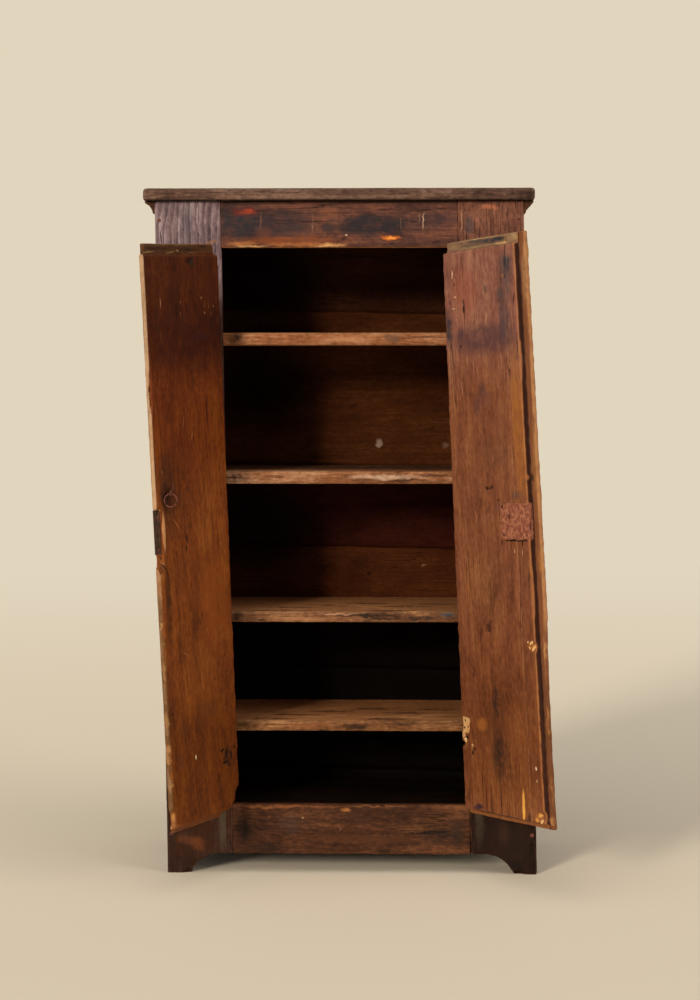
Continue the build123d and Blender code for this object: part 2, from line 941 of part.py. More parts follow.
def origin_of(nodes):
    """The middle of the bottom of the whole object's box."""
    box = Compound([solid for solids in nodes.values() for solid in solids]).bounding_box()
    return Vector((box.min.X + box.max.X) / 2, (box.min.Y + box.max.Y) / 2, box.min.Z)


nodes = {name: solids_of(piece) for name, piece in build().items()}
origin = origin_of(nodes)


def hinge_facts(side):
    """A point on a door's hinge line and its direction, from the origin of the part."""
    point = Vector(*pin_point(side, hinge_line_height)) - origin
    return tuple(point), tuple(Vector(-hinge_lean, 0, 1).normalized())


def ring_facts():
    eye = swing(Vertex(*eye_point()), LEFT).center() - origin
    return tuple(eye), tuple(ring_way().rotate(Axis.Z, -left_open))


def bolt_facts():
    """The way the bolt leaves the open door."""
    return tuple(Vector(-1, 0, 0).rotate(Axis((0, 0, 0), (-hinge_lean, 0, 1)), right_open))


for name, solids in nodes.items():
    moved = [solid.moved(Pos(*(-origin))) for solid in solids]
    export_step(Compound(moved) if len(moved) > 1 else moved[0], f"parts/{name}.step")

print(len(nodes), "nodes, origin at", tuple(origin))
print("left hinge", hinge_facts(LEFT))
print("right hinge", hinge_facts(RIGHT))
print("ring", ring_facts())
print("bolt", bolt_facts(), "travels", bolt_travel)
print("doors open to", widest_open, "and stand at", left_open, "and", right_open)
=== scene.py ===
# %% [markdown]
# # A trastero, the tall plank cupboard of a country house
#
# The joiner's measured solids are loaded first and never change. Everything below dresses them:
# boards with worn edges and old damage, wood and iron finishes, then light and a camera.

# %% Load the measured frame
import json
from math import radians

import bpy
from mathutils import Matrix, Vector


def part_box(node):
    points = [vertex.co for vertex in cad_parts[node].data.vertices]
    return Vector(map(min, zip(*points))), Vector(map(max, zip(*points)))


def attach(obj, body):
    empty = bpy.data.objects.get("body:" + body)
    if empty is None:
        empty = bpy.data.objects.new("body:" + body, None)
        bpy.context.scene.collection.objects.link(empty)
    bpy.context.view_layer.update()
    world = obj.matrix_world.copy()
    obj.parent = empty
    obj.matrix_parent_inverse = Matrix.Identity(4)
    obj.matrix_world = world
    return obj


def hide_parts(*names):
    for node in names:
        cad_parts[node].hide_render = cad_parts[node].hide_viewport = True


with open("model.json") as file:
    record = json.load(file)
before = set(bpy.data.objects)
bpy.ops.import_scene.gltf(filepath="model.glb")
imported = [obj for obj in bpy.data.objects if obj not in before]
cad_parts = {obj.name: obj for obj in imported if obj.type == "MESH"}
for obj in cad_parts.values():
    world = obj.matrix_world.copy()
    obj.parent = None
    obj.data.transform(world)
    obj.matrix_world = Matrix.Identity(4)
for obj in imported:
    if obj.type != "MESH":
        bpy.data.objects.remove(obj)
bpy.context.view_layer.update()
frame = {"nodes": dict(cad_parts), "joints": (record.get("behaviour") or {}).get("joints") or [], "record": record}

record = frame["record"]
print("loaded", len(frame["nodes"]), "nodes")

# %% [markdown]
# The joiner laid the cupboard out from the middle of the door opening at the floor, in
# millimetres, with the front of the case as y = 0. One function turns such a place into the
# frame's metres, so that every mark below can be written as it was measured on the wood.

# %% The joiner's measures
CASE_LEAN = 0.020
CASE_HEIGHT = 1650
SHELF_EDGE = 38
BACK_FACE = 362
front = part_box("left_stile")[0].y
top_low, top_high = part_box("top_board")
middle = (top_low.x + top_high.x) / 2 + CASE_LEAN * CASE_HEIGHT / 1000


def at(x, y, z):
    """A place in millimetres from the opening's middle as a point in metres."""
    return Vector((middle + x / 1000, front + y / 1000, z / 1000))


def on_front(x, z):
    """A place on the face of the case."""
    return at(x, 0, z)


def on_shelf_edge(x, z):
    """A place on the front edge of a shelf."""
    return at(x, SHELF_EDGE, z)


def on_back(x, z):
    """A place on the inside of the back."""
    return at(x, BACK_FACE, z)


print("middle", round(middle, 4), "front", round(front, 4))

# %% [markdown]
# A door is shaped and marked as it lies when shut, because its wear was made in that plane,
# and then carried out to where it stands open. Its hinge says how: the joint's lowest value
# shuts it. The same turn, written as numbers, lets a finish follow the open door.

# %% How each door shuts
joints = {joint["name"]: joint for joint in frame["joints"]}


def shutting(joint_name):
    """The movement that shuts an open door, as a matrix."""
    joint = joints[joint_name]
    pin = Matrix.Translation(joint["pos_m"])
    turn = Matrix.Rotation(radians(joint["range_deg"][0]), 4, Vector(joint["axis"]))
    return pin @ turn @ pin.inverted()


shut = {"left": shutting("left_door_hinge"), "right": shutting("right_door_hinge")}
LEFT_FREE = -26.5
RIGHT_FREE = -23.5
INNER_FACE = 12
LIP_FACE = -2
FACE_TOP = 1519
FACE_BOTTOM = 172


def on_left(inset, z, y=INNER_FACE):
    """A place on the shut left door, by its distance from the free edge."""
    return at(LEFT_FREE - inset, y, z)


def on_right(inset, z, y=INNER_FACE):
    """A place on the shut right door, by its distance from the free edge."""
    return at(RIGHT_FREE + inset, y, z)


def on_left_lip(inset, z):
    """A place on the lip around the left door, which lies deeper than its inner face."""
    return on_left(inset, z, LIP_FACE)


def on_right_lip(inset, z):
    """A place on the lip around the right door."""
    return on_right(inset, z, LIP_FACE)


print("left ring hangs", [round(v, 3) for v in shut["left"].inverted() @ on_left(41.5, 958)])

# %% [markdown]
# ## Camera
# The camera stands about five metres off at chest height, level, and a touch to the right.
# It looks a little past the cupboard's own line, and its film is shifted so that uprights
# stay upright while the floor comes into view.

# %% Camera
camera_data = bpy.data.cameras.new("camera")
camera_data.sensor_width = 36
camera_data.lens = 74.74
camera_data.shift_y = -0.14
camera = bpy.data.objects.new("camera", camera_data)
camera.location = at(112.1, -5088.2, 1259.2)
camera.rotation_euler = (radians(90), 0, radians(1.32))
bpy.context.scene.collection.objects.link(camera)
bpy.context.scene.camera = camera
print("camera at", [round(v, 3) for v in camera.location])

# %% [markdown]
# ## Light, floor and background
# A studio for furniture has a broad main light low on one side, so that it reaches deep into
# the open cupboard, a softer one far round on the other side for the door that would lie in
# shade, and a little light from above for the floor. Sun lamps with wide angles do this evenly.
# The world gives the rest. Far off, the floor fades into the background for the camera alone,
# as a seamless paper sweep would.

# %% Light and floor
def linear(hex_colour, alpha=True):
    """An sRGB hex colour as the linear values that Blender's sockets take."""
    channels = [int(hex_colour[i:i + 2], 16) / 255 for i in (1, 3, 5)]
    values = [c / 12.92 if c <= 0.04045 else ((c + 0.055) / 1.055) ** 2.4 for c in channels]
    return (*values, 1.0) if alpha else tuple(values)


def node(tree, kind, inputs=None, **settings):
    """Add a shader node, change its settings, and link or fill its inputs."""
    new = tree.nodes.new("ShaderNode" + kind)
    for name, value in settings.items():
        setattr(new, name, value)
    for name, value in (inputs or {}).items():
        if isinstance(value, bpy.types.NodeSocket):
            tree.links.new(value, new.inputs[name])
        else:
            new.inputs[name].default_value = value
    return new


def mapped(tree, value, low, high, to_low=0.0, to_high=1.0):
    """A value between two limits stretched to a new range on a smooth S, which levels off outside."""
    return node(tree, "MapRange",
                {0: value, 1: low, 2: high, 3: to_low, 4: to_high},
                interpolation_type="SMOOTHSTEP", clamp=False).outputs[0]


def mixed(tree, factor, colour, hex_colour, blend="MIX"):
    """A colour with another mixed in or multiplied by a factor."""
    return node(tree, "Mix", {0: factor, 6: colour, 7: linear(hex_colour)},
                data_type="RGBA", blend_type=blend).outputs[2]


def product(tree, first, second):
    """Two values multiplied."""
    return node(tree, "Math", {0: first, 1: second}, operation="MULTIPLY").outputs[0]


def added(tree, value, weight, total):
    """A total with a weighted value added to it."""
    return node(tree, "Math", {0: value, 1: weight, 2: total},
                operation="MULTIPLY_ADD").outputs[0]


def lamp(name, strength, colour, angle, height, turn):
    """A broad sun lamp that shines from a height, turned about the object from its front."""
    data = bpy.data.lights.new(name, "SUN")
    data.energy = strength
    data.color = linear(colour, alpha=False)
    data.angle = radians(angle)
    sun = bpy.data.objects.new(name, data)
    sun.rotation_euler = (radians(90 - height), 0, radians(turn))
    bpy.context.scene.collection.objects.link(sun)


BACKDROP = "#e2d5be"
lamp("main_light", 2.3, "#fff3e0", 12, 17, -32)
lamp("door_light", 1.3, "#fff6ea", 36, 14, 62)
lamp("top_light", 0.9, "#fffaf2", 50, 70, -12)

world = bpy.data.worlds.new("studio")
bpy.context.scene.world = world
world.use_nodes = True
sky = world.node_tree
sky.nodes.clear()
rays = node(sky, "LightPath")
seen = rays.outputs["Is Camera Ray"]
for ray in ("Is Glossy Ray", "Is Transmission Ray"):
    seen = node(sky, "Math", {0: seen, 1: rays.outputs[ray]}, operation="MAXIMUM").outputs[0]
ambient = node(sky, "Background", {"Color": linear("#fff8ee"), "Strength": 0.2})
backdrop = node(sky, "Background", {"Color": linear(BACKDROP), "Strength": 1.0})
both = node(sky, "MixShader", {0: seen, 1: ambient.outputs[0], 2: backdrop.outputs[0]})
node(sky, "OutputWorld", {"Surface": both.outputs[0]})

bpy.ops.object.select_all(action="DESELECT")
bpy.ops.mesh.primitive_circle_add(vertices=64, radius=60, fill_type="NGON")
floor = bpy.context.object
floor.name = "floor"
FADE_START, FADE_END = 1.2, 8  # metres from the middle
floor_paint = bpy.data.materials.new("matt_floor_paint")
floor_paint.use_nodes = True
paint = floor_paint.node_tree
matt = paint.nodes["Principled BSDF"]
matt.inputs["Base Color"].default_value = linear("#f0e5d2")
matt.inputs["Roughness"].default_value = 0.9
matt.inputs["Specular IOR Level"].default_value = 0.1
away = node(paint, "VectorMath", {0: node(paint, "TexCoord").outputs["Object"]},
            operation="LENGTH").outputs["Value"]
faded = product(paint, mapped(paint, away, FADE_START, FADE_END),
                node(paint, "LightPath").outputs["Is Camera Ray"])
sweep = node(paint, "Emission", {"Color": linear(BACKDROP)})
faded = node(paint, "MixShader", {0: faded, 1: matt.outputs[0], 2: sweep.outputs[0]})
paint.links.new(faded.outputs[0], paint.nodes["Material Output"].inputs["Surface"])
floor.data.materials.append(floor_paint)
bpy.context.scene.view_settings.view_transform = "Standard"
print("floor and lamps are set")

# %% [markdown]
# ## Old pine
# The boards are pine, sawn and planed by hand, stained dark once and then handled, waxed and
# smoked for more than a century. The eye sees fine fibres and long dark columns drawn out along
# the board, clouds from handling, soot and grease in patches with specks in them, hair-thin
# drying checks, pale scratches, and raw wood where an edge has rubbed through. Each is one layer
# of the finish below, at its own real size. The growth rings are true cylinders about a pith
# outside the board, so a face shows them as long arches and an end as arcs.

# %% The layers of old pine
GRAIN_TURN = {"x": (0, radians(90), 0), "y": (radians(90), 0, 0), "z": (0, 0, 0)}


def blank(name):
    """A new material, its empty node tree and the place of each point in its object."""
    material = bpy.data.materials.new(name)
    material.use_nodes = True
    tree = material.node_tree
    tree.nodes.clear()
    return material, tree, node(tree, "TexCoord").outputs["Object"]


def surfaced(tree, colour, rough, height, relief, depth, gloss, metallic=0.0):
    """End a material in a surface that a height, with a depth in metres, makes uneven."""
    normal = node(tree, "Bump", {"Height": height, "Strength": relief, "Distance": depth})
    surface = node(tree, "BsdfPrincipled", {
        "Base Color": colour, "Roughness": rough, "Normal": normal.outputs[0],
        "Specular IOR Level": gloss, "Metallic": metallic,
    })
    node(tree, "OutputMaterial", {"Surface": surface.outputs[0]})


def moved(tree, vector, kind="POINT", **ways):
    """A vector moved, turned or scaled; the kind TEXTURE does the opposite."""
    return node(tree, "Mapping", {"Vector": vector, **ways}, vector_type=kind).outputs[0]


def pushed(tree, vector, push, amount):
    """A vector with a part of another added to it."""
    push = node(tree, "VectorMath", {0: push, 3: amount}, operation="SCALE").outputs[0]
    return node(tree, "VectorMath", {0: vector, 1: push}, operation="ADD").outputs[0]


def stretched(tree, vector, scale, turn=0):
    """A vector whose noise is drawn out along the grain, perhaps turned a little from it."""
    if turn:
        vector = moved(tree, vector, Rotation=(0, radians(turn), 0))
    return moved(tree, vector, Scale=(1, 1, scale))


def noise(tree, vector, size, detail, rough=0.6, distortion=0.0):
    """The value of a cloudy noise whose largest lumps have a size in millimetres."""
    return node(tree, "TexNoise", {
        "Vector": vector, "Scale": 1000 / size, "Detail": detail, "Roughness": rough,
        "Distortion": distortion,
    }).outputs["Fac"]


def pine(name, grain, tones, seed, rings=9, pith=(60, 40), door=None,
         grime=0.55, scuff=0.45, figure=0.06, calm=1.0):
    """Start a finish of old pine, with the grain along one axis.

    Tones are its dark, middle and light colour, and rings is how far apart its growth rings are
    about the pith, in millimetres. Grime, scuff and figure weigh the dirt, the scratches and the
    rings, and a calm below 1 evens all of it out.
    """
    dark, mid, light = tones
    material, tree, place = blank(name)
    if door:
        place = moved(tree, place, Location=shut[door].to_translation(), Rotation=shut[door].to_euler())
    # the grain runs along z of this vector, and a seed moves each board to its own part of the log
    log = moved(tree, place, Rotation=GRAIN_TURN[grain])
    log = moved(tree, log, Location=(seed, seed * 1.7, seed * 0.6))
    cloud = stretched(tree, log, 0.5)
    fleck = stretched(tree, log, 0.55)

    # growth rings about the pith, bent by a slow noise
    bend = noise(tree, cloud, 120, 2).node.outputs["Color"]
    bent = pushed(tree, log, bend, 0.05)
    pith_at = (seed + pith[0] / 1000, seed * 1.7 + pith[1] / 1000, 0)
    bent = moved(tree, bent, "TEXTURE", Location=pith_at, Rotation=(radians(2.2), radians(3.0), 0))
    ring = node(tree, "TexWave", {
        "Vector": bent, "Scale": 314 / rings, "Distortion": 3, "Detail": 2, "Detail Scale": 0.6,
    }, wave_type="RINGS", rings_direction="Z", wave_profile="SAW").outputs["Fac"]

    # fibres are drawn 4 mm wide, because real ones are finer than the eye sees from where it stands
    streak = noise(tree, stretched(tree, log, 0.07), 4, 4, 0.65)
    column = noise(tree, stretched(tree, log, 0.05), 22, 3, 0.6, 0.3)
    mottle = noise(tree, fleck, 8, 6, 0.78)
    soot = noise(tree, cloud, 42, 7, 0.7, 0.4)
    broad = noise(tree, cloud, 120, 4)
    layers = ((broad, 0.6), (column, 0.35), (soot, 0.45), (streak, 0.3), (mottle, 0.7), (ring, figure))
    tone = 0.5 - sum(weight for _, weight in layers) / 2 * calm
    for layer, weight in layers:
        tone = added(tree, layer, weight * calm, tone)
    ramp = node(tree, "ValToRGB", {"Fac": tone})
    stops = ramp.color_ramp.elements
    stops[0].position, stops[0].color = 0.28, linear(dark)
    stops[1].position, stops[1].color = 0.74, linear(light)
    stops.new(0.5).color = linear(mid)
    colour = ramp.outputs["Color"]

    # grease and soot in ragged patches, specks of dirt 4 mm across, scratches down to the pale wood
    colour = mixed(tree, mapped(tree, soot, 0.42, 0.28, 0, grime), colour, "#180c07")
    speck = mapped(tree, noise(tree, fleck, 4, 2), 0.66, 0.74, 0, 0.75)
    speck = product(tree, speck, mapped(tree, soot, 0.60, 0.44, 0.2, 1))
    colour = mixed(tree, speck, colour, "#160b07")
    raw = mapped(tree, noise(tree, fleck, 3, 2), 0.68, 0.78, 0, scuff)
    colour = mixed(tree, raw, colour, light)
    scratch = noise(tree, stretched(tree, log, 0.14, 6), 3.6, 2)
    scratch = product(tree, mapped(tree, scratch, 0.70, 0.77, 0, scuff), mapped(tree, broad, 0.42, 0.55))
    colour = mixed(tree, scratch, colour, light)

    # drying checks: hair-thin dark lines along the grain, here and there
    split = noise(tree, stretched(tree, log, 0.035), 18, 1.5, 0.5, 0.3)
    split = node(tree, "Math", {0: split, 1: 0.5, 2: 0.5}, operation="PINGPONG").outputs[0]
    split = product(tree, mapped(tree, split, 0.488, 0.4985), mapped(tree, broad, 0.50, 0.60))
    colour = mixed(tree, product(tree, split, 0.7), colour, "#150a05")

    ragged = noise(tree, place, 24, 4, 0.65)
    shake = node(tree, "VectorMath", {0: ragged.node.outputs["Color"], 1: (0.5, 0.5, 0.5)},
                 operation="SUBTRACT").outputs[0]
    return {
        "material": material, "tree": tree, "place": place, "colour": colour, "streak": streak,
        "ring": ring, "soot": soot, "broad": broad, "split": split,
        "blotch": ragged, "shake": shake, "holes": {}, "shaken": {},
    }


# %% [markdown]
# Stains, scuffs, raw breaks and burns lie over the pine as soft or ragged ellipses. Each is
# given by its middle and its half sizes in millimetres, so it stays where it is on the board.
# Boards take dozens of them, so each kind of ragged rim is worked out once and kept.
# The rubbing follows the mesh instead: where the surface bends outwards, at an edge or a corner,
# the stain has gone and the paler wood shows in broken lengths, and where it bends inwards it is
# darkened, by the dirt of a century and by painted shade in the crease.

# %% Marks on the wood
def mark(wood, centre, half_sizes, colour, amount=0.9, soft=0.7, ragged=0.02, turn=0, broken=0.4,
         blend="MIX"):
    """A patch of another colour about a point, with a soft or ragged rim and a broken middle."""
    tree = wood["tree"]
    if ragged not in wood["shaken"]:
        wood["shaken"][ragged] = pushed(tree, wood["place"], wood["shake"], ragged)
    spot = moved(tree, wood["shaken"][ragged], "TEXTURE", Location=centre, Rotation=(0, radians(turn), 0),
                 Scale=[size / 1000 for size in half_sizes])
    # this texture is 1 in the middle of the ellipse and 0 at its rim
    inside = node(tree, "TexGradient", {"Vector": spot}, gradient_type="SPHERICAL").outputs["Fac"]
    inside = mapped(tree, inside, 0, soft, 0, amount)
    if broken:
        if broken not in wood["holes"]:
            wood["holes"][broken] = mapped(tree, wood["blotch"], 0.38, 0.58, 1 - broken, 1)
        inside = product(tree, inside, wood["holes"][broken])
    wood["colour"] = mixed(tree, inside, wood["colour"], colour, blend)


def shade(wood, centre, half_sizes, colour, soft=0.5, broken=0.1):
    """Stain a large part of a board and let its grain show through."""
    mark(wood, centre, half_sizes, colour, 1, soft, 0.03, 0, broken, "MULTIPLY")


def marks(wood, spot, rows, deep=20, soft=0.7, ragged=0.02, broken=0.4):
    """Marks from rows of across, height, half width, half height, colour, percent, perhaps a turn."""
    for row in rows:
        across, height, half_width, half_height, colour, percent, turn = (*row, 0)[:7]
        mark(wood, spot(across, height), (half_width, deep, half_height), colour, percent / 100,
             soft, ragged, turn, broken)


def beyond(wood, axis, start, end, colour, amount=0.9, broken=0.0):
    """Another colour past a plane across one axis, in millimetres, broken up by blotches."""
    tree = wood["tree"]
    value = node(tree, "SeparateXYZ", {0: wood["place"]}).outputs[axis.upper()]
    offset = at(0, 0, 0)["xyz".index(axis)]
    low, high = sorted((offset + start / 1000, offset + end / 1000))
    past = mapped(tree, value, low, high, *((0, amount) if end > start else (amount, 0)))
    if broken:
        past = product(tree, past, mapped(tree, wood["blotch"], 0.52 - broken / 2, 0.60, 1 - broken, 1))
    wood["colour"] = mixed(tree, past, wood["colour"], colour)


def rub_edges_shade_hollows(wood, colour, amount):
    """Paler wood where the surface bends outwards, dirt and painted shade where it bends inwards."""
    tree = wood["tree"]
    # a flat face has a pointiness of 0.5
    bend = node(tree, "NewGeometry").outputs["Pointiness"]
    edge = mapped(tree, bend, 0.515, 0.60, 0, amount)
    edge = product(tree, edge, mapped(tree, wood["blotch"], 0.36, 0.56))
    wood["colour"] = mixed(tree, edge, wood["colour"], colour)
    # painted shade with dirt: near-black where the surface bends inwards, in steps and creases
    hollow = mapped(tree, bend, 0.485, 0.43, 0, 0.85)
    wood["colour"] = mixed(tree, hollow, wood["colour"], "#120805")


# raised grain of old softwood stands up to about half a millimetre
GRAIN_DEPTH = 0.0016


def finish(wood, rough=(0.55, 0.85), relief=0.6, gloss=0.12):
    """Give the layers a surface: waxed where smooth, matt where grimy, with raised grain."""
    tree = wood["tree"]
    height = wood["streak"]
    for layer, weight in (("ring", 0.1), ("soot", 0.8), ("blotch", 0.7), ("split", -1.6)):
        height = added(tree, wood[layer], weight, height)
    roughness = mapped(tree, wood["broad"], 0.3, 0.7, rough[1], rough[0])
    surfaced(tree, wood["colour"], roughness, height, relief, GRAIN_DEPTH, gloss)
    return wood["material"]


print("pine is ready")

# %% [markdown]
# ## Worn boards
# A new board has crisp arrises. A hundred years of hands, brooms and boxes round them unevenly,
# and knock out chips. The quickest true way there is to take the board's measured solid, cut
# the damage out of it with listed lumps, rebuild it as an even skin of small faces, and
# let that skin sink a little wherever it turns a corner.

# %% Board tools
def only(*objects):
    """Select these objects alone and make the last one active."""
    bpy.ops.object.select_all(action="DESELECT")
    for item in objects:
        item.select_set(True)
    bpy.context.view_layer.objects.active = objects[-1]


def apply_modifier(piece, kind, **settings):
    """Add a modifier, change its settings, and apply it."""
    only(piece)
    bpy.ops.object.modifier_add(type=kind)
    modifier = piece.modifiers[-1]
    for name, value in settings.items():
        setattr(modifier, name, value)
    bpy.ops.object.modifier_apply(modifier=modifier.name)


def displace(piece, texture, amount, middle_level, **settings):
    """Push a surface in and out by a texture, up to an amount in millimetres."""
    apply_modifier(piece, "DISPLACE", texture=texture, texture_coords="LOCAL",
                   strength=amount / 1000, mid_level=middle_level, **settings)


def lumps(name, size, depth=1):
    """A cloud texture that modifiers use to push a surface about; size in millimetres."""
    texture = bpy.data.textures.new(name, "CLOUDS")
    texture.noise_scale = size / 1000
    texture.noise_depth = depth
    return texture


WELD = 0.00001
ARRIS_LEVELS = 5
FLAT = 0.015  # how far a normal on a flat face may turn from its axis
LEVELS_PER_TURN = 20
chips = lumps("chips", 22, 3)
waves = lumps("waves", 110, 1)
dents = lumps("dents", 9, 2)


def copied(node_name):
    """A copy of a measured solid whose loose triangles are merged into one skin."""
    mesh = frame["nodes"][node_name].data.copy()
    mesh.materials.clear()
    board = bpy.data.objects.new(node_name + "_worn", mesh)
    bpy.context.scene.collection.objects.link(board)
    only(board)
    bpy.ops.object.mode_set(mode="EDIT")
    bpy.ops.mesh.select_all(action="SELECT")
    bpy.ops.mesh.remove_doubles(threshold=WELD)
    bpy.ops.object.mode_set(mode="OBJECT")
    return board


def carve(board, cutters):
    """Cut lumps out of a board and delete them."""
    only(*cutters)
    bpy.ops.object.join()
    tool = bpy.context.object
    apply_modifier(board, "BOOLEAN", operation="DIFFERENCE", object=tool, solver="EXACT", use_self=True)
    bpy.data.objects.remove(tool)


def weather(board, voxel, wear, wave=0.6, smooth=2):
    """Rebuild a board as small even faces, round its arrises unevenly and let its faces wander."""
    step = voxel * 1 / 1000
    apply_modifier(board, "REMESH", mode="VOXEL", voxel_size=step)
    apply_modifier(board, "SMOOTH", factor=0.5, iterations=smooth)
    group = board.vertex_groups.new(name="arris")
    levels = [[] for _ in range(ARRIS_LEVELS)]
    for vertex in board.data.vertices:
        # 0 on a face that looks along an axis, up to 0.42 on a corner
        turned = 1 - max(abs(v) for v in vertex.normal)
        if turned > FLAT:
            levels[min(ARRIS_LEVELS - 1, int(turned * LEVELS_PER_TURN))].append(vertex.index)
    for number, members in enumerate(levels):
        group.add(members, (number + 1) / ARRIS_LEVELS, "REPLACE")
    displace(board, chips, -wear, 0.42, vertex_group="arris")
    apply_modifier(board, "SMOOTH", factor=0.5, iterations=1)
    displace(board, waves, wave, 0.5)
    board.vertex_groups.clear()
    only(board)
    bpy.ops.object.shade_smooth()


slots = {part["node"]: part["material_slot"] for part in record["subparts"]}
bodies = {name: body for body, names in record["behaviour"]["bodies"].items() for name in names}


def dress(board, node_name, material):
    """Give a board its finish and let it stand for its measured solid."""
    board.data.materials.clear()
    board.data.materials.append(material)
    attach(board, bodies[node_name])
    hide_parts(node_name)
    print(board.name, len(board.data.polygons), "faces")


def lump(centre, half_sizes, turn=0, rough=0.0, boxy=False):
    """A rounded or boxy lump to cut with, roughened so that it leaves a torn hollow."""
    bpy.ops.object.select_all(action="DESELECT")
    if boxy:
        bpy.ops.mesh.primitive_cube_add(size=2)
    else:
        bpy.ops.mesh.primitive_ico_sphere_add(subdivisions=3, radius=1)
    tool = bpy.context.object
    bpy.ops.object.mode_set(mode="EDIT")
    if boxy:
        bpy.ops.mesh.subdivide(number_cuts=6)
    bpy.ops.transform.resize(value=[size / 1000 for size in half_sizes])
    bpy.ops.transform.rotate(value=radians(turn), orient_axis="Y", center_override=(0, 0, 0))
    bpy.ops.transform.translate(value=centre)
    bpy.ops.object.mode_set(mode="OBJECT")
    if rough:
        displace(tool, dents, rough, 0.5)
    return tool


def lumps_at(spot, y, rows):
    """Lumps from rows of across, height, half width, depth and height, roughness and perhaps a turn."""
    tools = []
    for row in rows:
        across, height, half_width, half_depth, half_height, rough, turn = (*row, 0)[:7]
        centre = spot(across, height)
        centre.y += y / 1000
        tools.append(lump(centre, (half_width, half_depth, half_height), turn, rough))
    return tools


def worn(node_name, material, voxel, wear, cutters=(), door=None, **ways):
    """Carve, weather and dress a board in place of its measured solid; a door is laid shut for it."""
    board = copied(node_name)
    if door:
        board.data.transform(shut[door])
    if cutters:
        carve(board, cutters)
    weather(board, voxel, wear, **ways)
    if door:
        board.data.transform(shut[door].inverted())
    dress(board, node_name, material)


# %% [markdown]
# ## The case
# Stiles and rails are the face of the cupboard. The left stile has weathered to a purple grey
# at the top, the frieze keeps most of its dark stain with blue-black clouds and two orange
# scorches, and its lower edge is rubbed bare where the doors were shut on it. Low down, the
# feet are painted dark as shade, where the light falls off towards the floor and the right door
# shades the right foot.

# %% Stile finishes
left_stile = pine("weathered_pine_left_stile", "z", ("#45373c", "#725d62", "#a08c90"), 1.3,
                  rings=15, pith=(60, 40), figure=0.22, scuff=0.6, grime=0.35)
shade(left_stile, on_front(-340, 650), (300, 90, 840), "#6c411a", soft=0.15)
marks(left_stile, on_front, (
    (-447, 1615, 3, 3, "#1a0f0e", 90), (-438, 1606, 2.5, 2.5, "#1a0f0e", 90),
    (-451, 1600, 2, 3, "#241614", 90), (-413, 1581, 4, 4, "#120a09", 95),
    (-430, 1622, 12, 16, "#3a2b2c", 60), (-344, 1549, 18, 7, "#93644a", 70),
    (-441, 1590, 16, 60, "#88716f", 55), (-404, 1592, 24, 60, "#4d484e", 50),
    (-362, 1600, 12, 50, "#5a4a50", 45), (-380, 1545, 40, 5, "#8a5a48", 50),
    # the near-black patches at the foot, from z 24 to 95, are painted shade; the orange ones are the wood's own
    # colour
    (-390, 95, 150, 150, "#311909", 94), (-396, 80, 50, 16, "#74401f", 55, 8),
    (-376, 62, 22, 14, "#6a3a20", 50), (-420, 24, 60, 30, "#26150d", 85), (-446, 90, 20, 60, "#2c1a12", 75),
    (-318, 110, 15, 70, "#4a4032", 75), (-338, 100, 1.6, 60, "#1c130c", 80, 1),
))
rub_edges_shade_hollows(left_stile, "#9a7668", 0.55)
right_stile = pine("stained_pine_right_stile", "z", ("#35201c", "#5f3a2e", "#8c5b47"), 3.4,
                   rings=11, pith=(120, 40), figure=0.1)
shade(right_stile, on_front(360, 650), (300, 90, 840), "#5a4632", soft=0.15)
marks(right_stile, on_front, (
    (267, 1600, 2, 36, "#c49474", 75, 2), (286, 1588, 18, 30, "#36363e", 80),
    (338, 1634, 30, 9, "#b56c4a", 75), (395, 1590, 24, 26, "#55312a", 50),
    (425, 1618, 8, 20, "#a5745c", 50), (313, 120, 15, 70, "#41382c", 75),
    # the dark patches at the foot, 372 to 400 across, are painted shade of the right door
    (333, 110, 1.6, 60, "#1a110b", 80, 1), (385, 80, 110, 110, "#1f1108", 94),
    (400, 20, 60, 22, "#170c07", 80), (372, 100, 20, 40, "#3a2418", 50),
))
rub_edges_shade_hollows(right_stile, "#8f5a3d", 0.5)
print("stile finishes are ready")

# %% Rail finishes
frieze = pine("stained_pine_frieze", "x", ("#261a1c", "#55352c", "#7f4e3a"), 2.1,
              rings=10, pith=(90, 30), grime=0.6, scuff=0.5)
marks(frieze, on_front, (
    (-270, 1600, 90, 62, "#25262c", 95), (-170, 1596, 110, 46, "#33282c", 90),
    (-262, 1624, 46, 18, "#6a2a20", 80), (-258, 1622, 26, 9, "#ac4222", 85),
    (-215, 1570, 30, 24, "#5c3830", 70), (-54, 1622, 40, 13, "#84503a", 60),
    (-60, 1582, 26, 18, "#33292c", 80), (60, 1588, 150, 40, "#242227", 95),
    (30, 1604, 60, 20, "#2c252a", 80), (205, 1602, 74, 34, "#33262a", 80), (94, 1560, 34, 8, "#cf6c20", 95),
    (96, 1560, 16, 4, "#f0a24a", 90), (-150, 1552, 180, 16, "#7e4426", 85),
    (-270, 1545, 46, 8, "#b5733e", 85), (-130, 1542, 110, 8, "#a9683a", 80),
    (-45, 1542, 45, 7, "#c08a54", 85), (-250, 1538, 60, 3, "#dcb078", 80),
    (-60, 1539, 50, 3, "#d8ac74", 80), (-224, 1600, 1.5, 34, "#9a6650", 60, 3),
    (-97, 1596, 1.3, 34, "#a5725a", 60, -2), (175, 1600, 1.6, 30, "#d0a88c", 80, 2),
    (166, 1608, 1.2, 16, "#b58a70", 70, 6), (120, 1596, 1.2, 24, "#8a6454", 50, -3),
    (-22, 1557, 11, 7, "#150c0c", 90), (-14, 1563, 5, 3, "#d8b896", 80),
))
beyond(frieze, "z", 1537, 1535.5, "#b07848", 0.8, broken=0.5)
# painted shadow of the top board's overhang, darkening the frieze's upper edge
beyond(frieze, "z", 1636, 1648, "#1b1214", 0.7)
rub_edges_shade_hollows(frieze, "#a0623a", 0.6)
bottom_rail = pine("stained_pine_bottom_rail", "x", ("#201109", "#452818", "#74482b"), 4.2,
                   rings=12, pith=(80, 30), grime=0.65, scuff=0.5)
